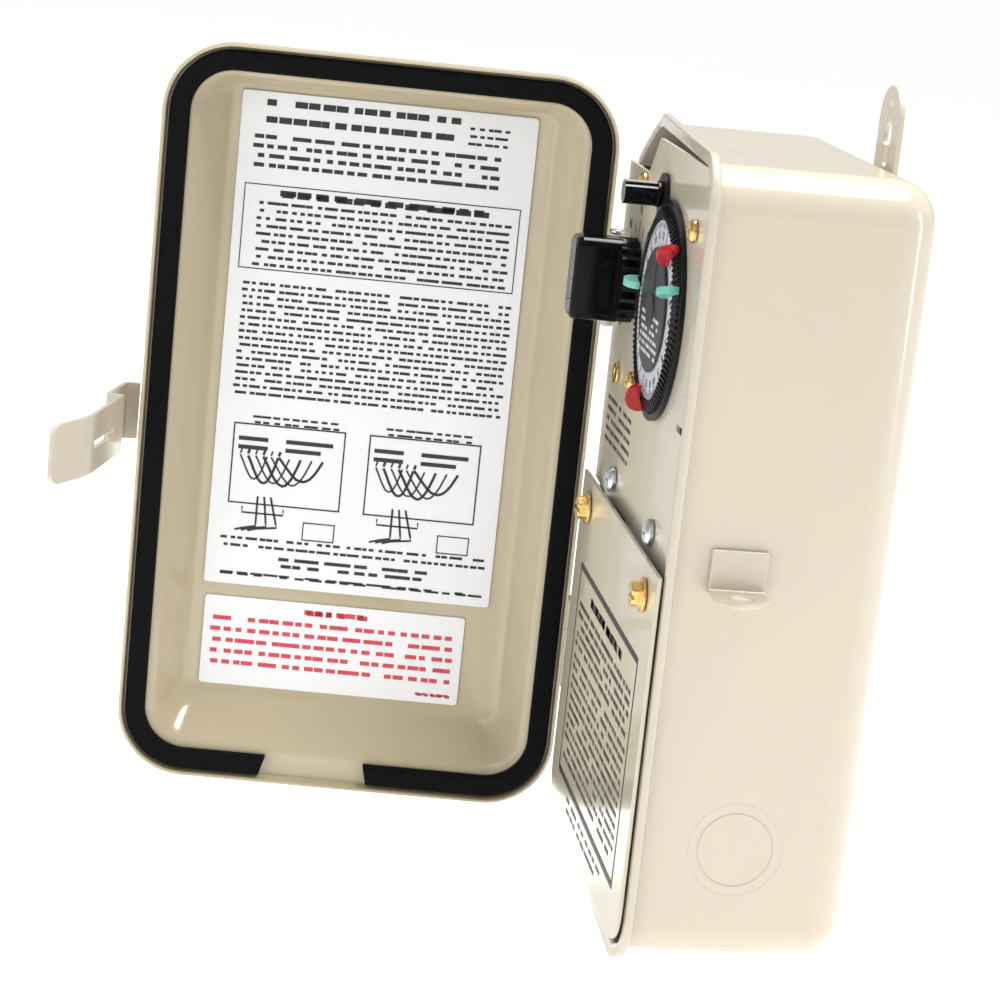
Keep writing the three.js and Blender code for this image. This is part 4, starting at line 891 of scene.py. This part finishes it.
frameLines("notice_frame", onDoor(labelCentre, panelFace + 0.02, 0), ink="inkBlack", body="door", **noticeFrame)


# A flat closed ribbon along a line of points.
def ribbon(bm, points, width, place, high=0.08):
    sections = []
    for i, point in enumerate(points):
        before, after = points[max(0, i - 1)], points[min(len(points) - 1, i + 1)]
        run = Vector((after[0] - before[0], after[1] - before[1])).normalized() * width / 2
        u, v = point
        left, right = (u - run.y, v + run.x), (u + run.y, v - run.x)
        corners = ((*left, 0), (*right, 0), (*right, high), (*left, high))
        sections.append([bm.verts.new(place @ (Vector(p) * mm)) for p in corners])
    for one, two in zip(sections, sections[1:]):
        for i in range(4):
            k = (i + 1) % 4
            bm.faces.new((one[i], two[i], two[k], one[k]))
    bm.faces.new(sections[0])
    bm.faces.new(reversed(sections[-1]))


# A framed sketch of leads that sag between two rows of terminals and leave by one fitting.
def diagram(name, offset):
    bm = bmesh.new()
    place = onDoor(labelCentre, panelFace + 0.03, 0)
    x0, x1, z0, z1 = offset - 19, offset + 19, -30, -2
    frame = [((x0, z0), (x1, z0 + 0.5)), ((x0, z1 - 0.5), (x1, z1)),
             ((x0, z0), (x0 + 0.5, z1)), ((x1 - 0.5, z0), (x1, z1))]
    terminals = [((x0 + 2, -8), (x0 + 12, -6.6)), ((x0 + 2, -11), (x0 + 12, -9.6)),
                 ((x0 + 18, -8), (x0 + 34, -6.6)), ((x0 + 18, -11), (x0 + 30, -9.6))]
    motorBox = [((x1 - 12, -41), (x1 - 1, -40.6)), ((x1 - 12, -35), (x1 - 1, -34.6)),
                ((x1 - 12, -41), (x1 - 11.6, -34.6)), ((x1 - 1.4, -41), (x1 - 1, -34.6))]
    for low, high in frame + terminals + motorBox:
        boxMesh(bm, (*low, 0), (*high, 0.08), place)
    chooser = random.Random(7)
    steps = 14
    for k in range(6):
        start, finish = x0 + 3 + 2.6 * k, x0 + 12 + 3.8 * k
        sag, thick = chooser.uniform(9, 14), 0.9 if k % 2 else 0.6
        line = []
        for i in range(steps + 1):
            t = i / steps
            wobble = 2 * chooser.random() * 0.1
            drop = sag * math.sin(math.pi * t) * (0.5 + 0.5 * t)
            line.append((start + (finish - start) * t, -13 - wobble - drop))
        ribbon(bm, line, thick, place)
        ribbon(bm, [(start, -12.6), (start + 0.4, -11)], thick, place)
    for k in range(3):
        out = x0 + 10 + 2.2 * k
        down = [(out + 0.2 * t * k, -27 - 1.5 * t) for t in range(8)]
        aside = [(out - 4 - t, -38.4 - 0.3 * t) for t in range(4)]
        ribbon(bm, down + aside, 0.7, place)
    ribbon(bm, [(x0 + 5, -31), (x0 + 5, -33), (x0 + 19, -33), (x0 + 19, -31)], 0.6, place)
    piece = fromBmesh(name, bm, materials["inkBlack"])
    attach(piece, "door")


diagram("diagram_left", -24)
diagram("diagram_right", 22)
print("print done")

# ---- studio ----
floorMaterial, floorTree, floorShader = newMaterial("paleFloor", (0.93, 0.93, 0.93), 0.55, 0.0, 0.0, 0.2)
grit = noiseOf(floorTree, 3.0, 2.0)
floorColors = rampOf(floorTree, grit, [(0.3, (0.925, 0.925, 0.925)), (0.7, (0.94, 0.94, 0.94))])
floorTree.links.new(floorColors, floorShader.inputs["Base Color"])
floorShader.inputs["Emission Color"].default_value = (1, 1, 1, 1)
floorShader.inputs["Emission Strength"].default_value = 0.57
bm = bmesh.new()
bmesh.ops.create_grid(bm, x_segments=1, y_segments=1, size=14.0)
bmesh.ops.translate(bm, verts=bm.verts, vec=(0, 0, cadBounds[0][2] - 0.03))
floor = fromBmesh("floor", bm, floorMaterial, recalc=False)

world = bpy.data.worlds.new("studio")
bpy.context.scene.world = world
world.use_nodes = True
worldTree = world.node_tree
worldTree.nodes["Background"].inputs["Color"].default_value = (1.0, 0.99, 0.97, 1)
seen = worldTree.nodes.new("ShaderNodeLightPath")
strength = worldTree.nodes.new("ShaderNodeMapRange")  # the backdrop is white, and its light is softer
strength.inputs["To Min"].default_value = 0.45
strength.inputs["To Max"].default_value = 1.0
worldTree.links.new(seen.outputs["Is Camera Ray"], strength.inputs["Value"])
worldTree.links.new(strength.outputs["Result"], worldTree.nodes["Background"].inputs["Strength"])

lampSpec = {
    "keyLamp": dict(at=(1.3, -0.9, 1.1), size=(0.7, 0.7), power=3.0),
    "fillLamp": dict(at=(0.9, -1.5, 0.3), size=(0.8, 1.0), power=3.3),
    "topLamp": dict(at=(-0.1, 0.15, 1.2), size=(1.0, 0.35), power=25),
    "rearStrip": dict(at=(0.5, 1.2, 0.25), size=(0.14, 1.1), power=4),
}
lampAim = Vector((-0.02, -0.08, 0))
for name, s in lampSpec.items():
    lamp = bpy.data.lights.new(name, "AREA")
    lamp.shape = "RECTANGLE"
    lamp.size, lamp.size_y = s["size"]
    lamp.energy = s["power"]
    holder = bpy.data.objects.new(name, lamp)
    bpy.context.scene.collection.objects.link(holder)
    spot = Vector(s["at"])
    holder.location = spot
    holder.rotation_euler = (lampAim - spot).to_track_quat("-Z", "Y").to_euler()

# camera: bearing and height in degrees, then its roll, target and distance
viewSpec = dict(bearing=81.63, height=13.02, roll=-6.0, target=(8.61, -107.44, 5.26),
                distance=827.4, lens=99.47)


def placeCamera():
    s = viewSpec
    a, e, roll = (math.radians(s[k]) for k in ("bearing", "height", "roll"))
    forward = Vector((-math.sin(a) * math.cos(e), math.cos(a) * math.cos(e), -math.sin(e)))
    right = Vector((math.cos(a), math.sin(a), 0))
    up = right.cross(forward)
    rolledRight = right * math.cos(roll) - up * math.sin(roll)
    rolledUp = up * math.cos(roll) + right * math.sin(roll)
    lens = bpy.data.cameras.new("camera")
    lens.lens = s["lens"]
    lens.sensor_width = 36
    lens.clip_start = 0.02
    camera = bpy.data.objects.new("camera", lens)
    bpy.context.scene.collection.objects.link(camera)
    turn = Matrix((rolledRight, rolledUp, -forward)).transposed().to_4x4()
    place = Vector(s["target"]) * mm - forward * s["distance"] * mm
    camera.matrix_world = Matrix.Translation(place) @ turn
    bpy.context.scene.camera = camera


placeCamera()
bpy.context.scene.view_settings.view_transform = "Standard"
print("studio done")
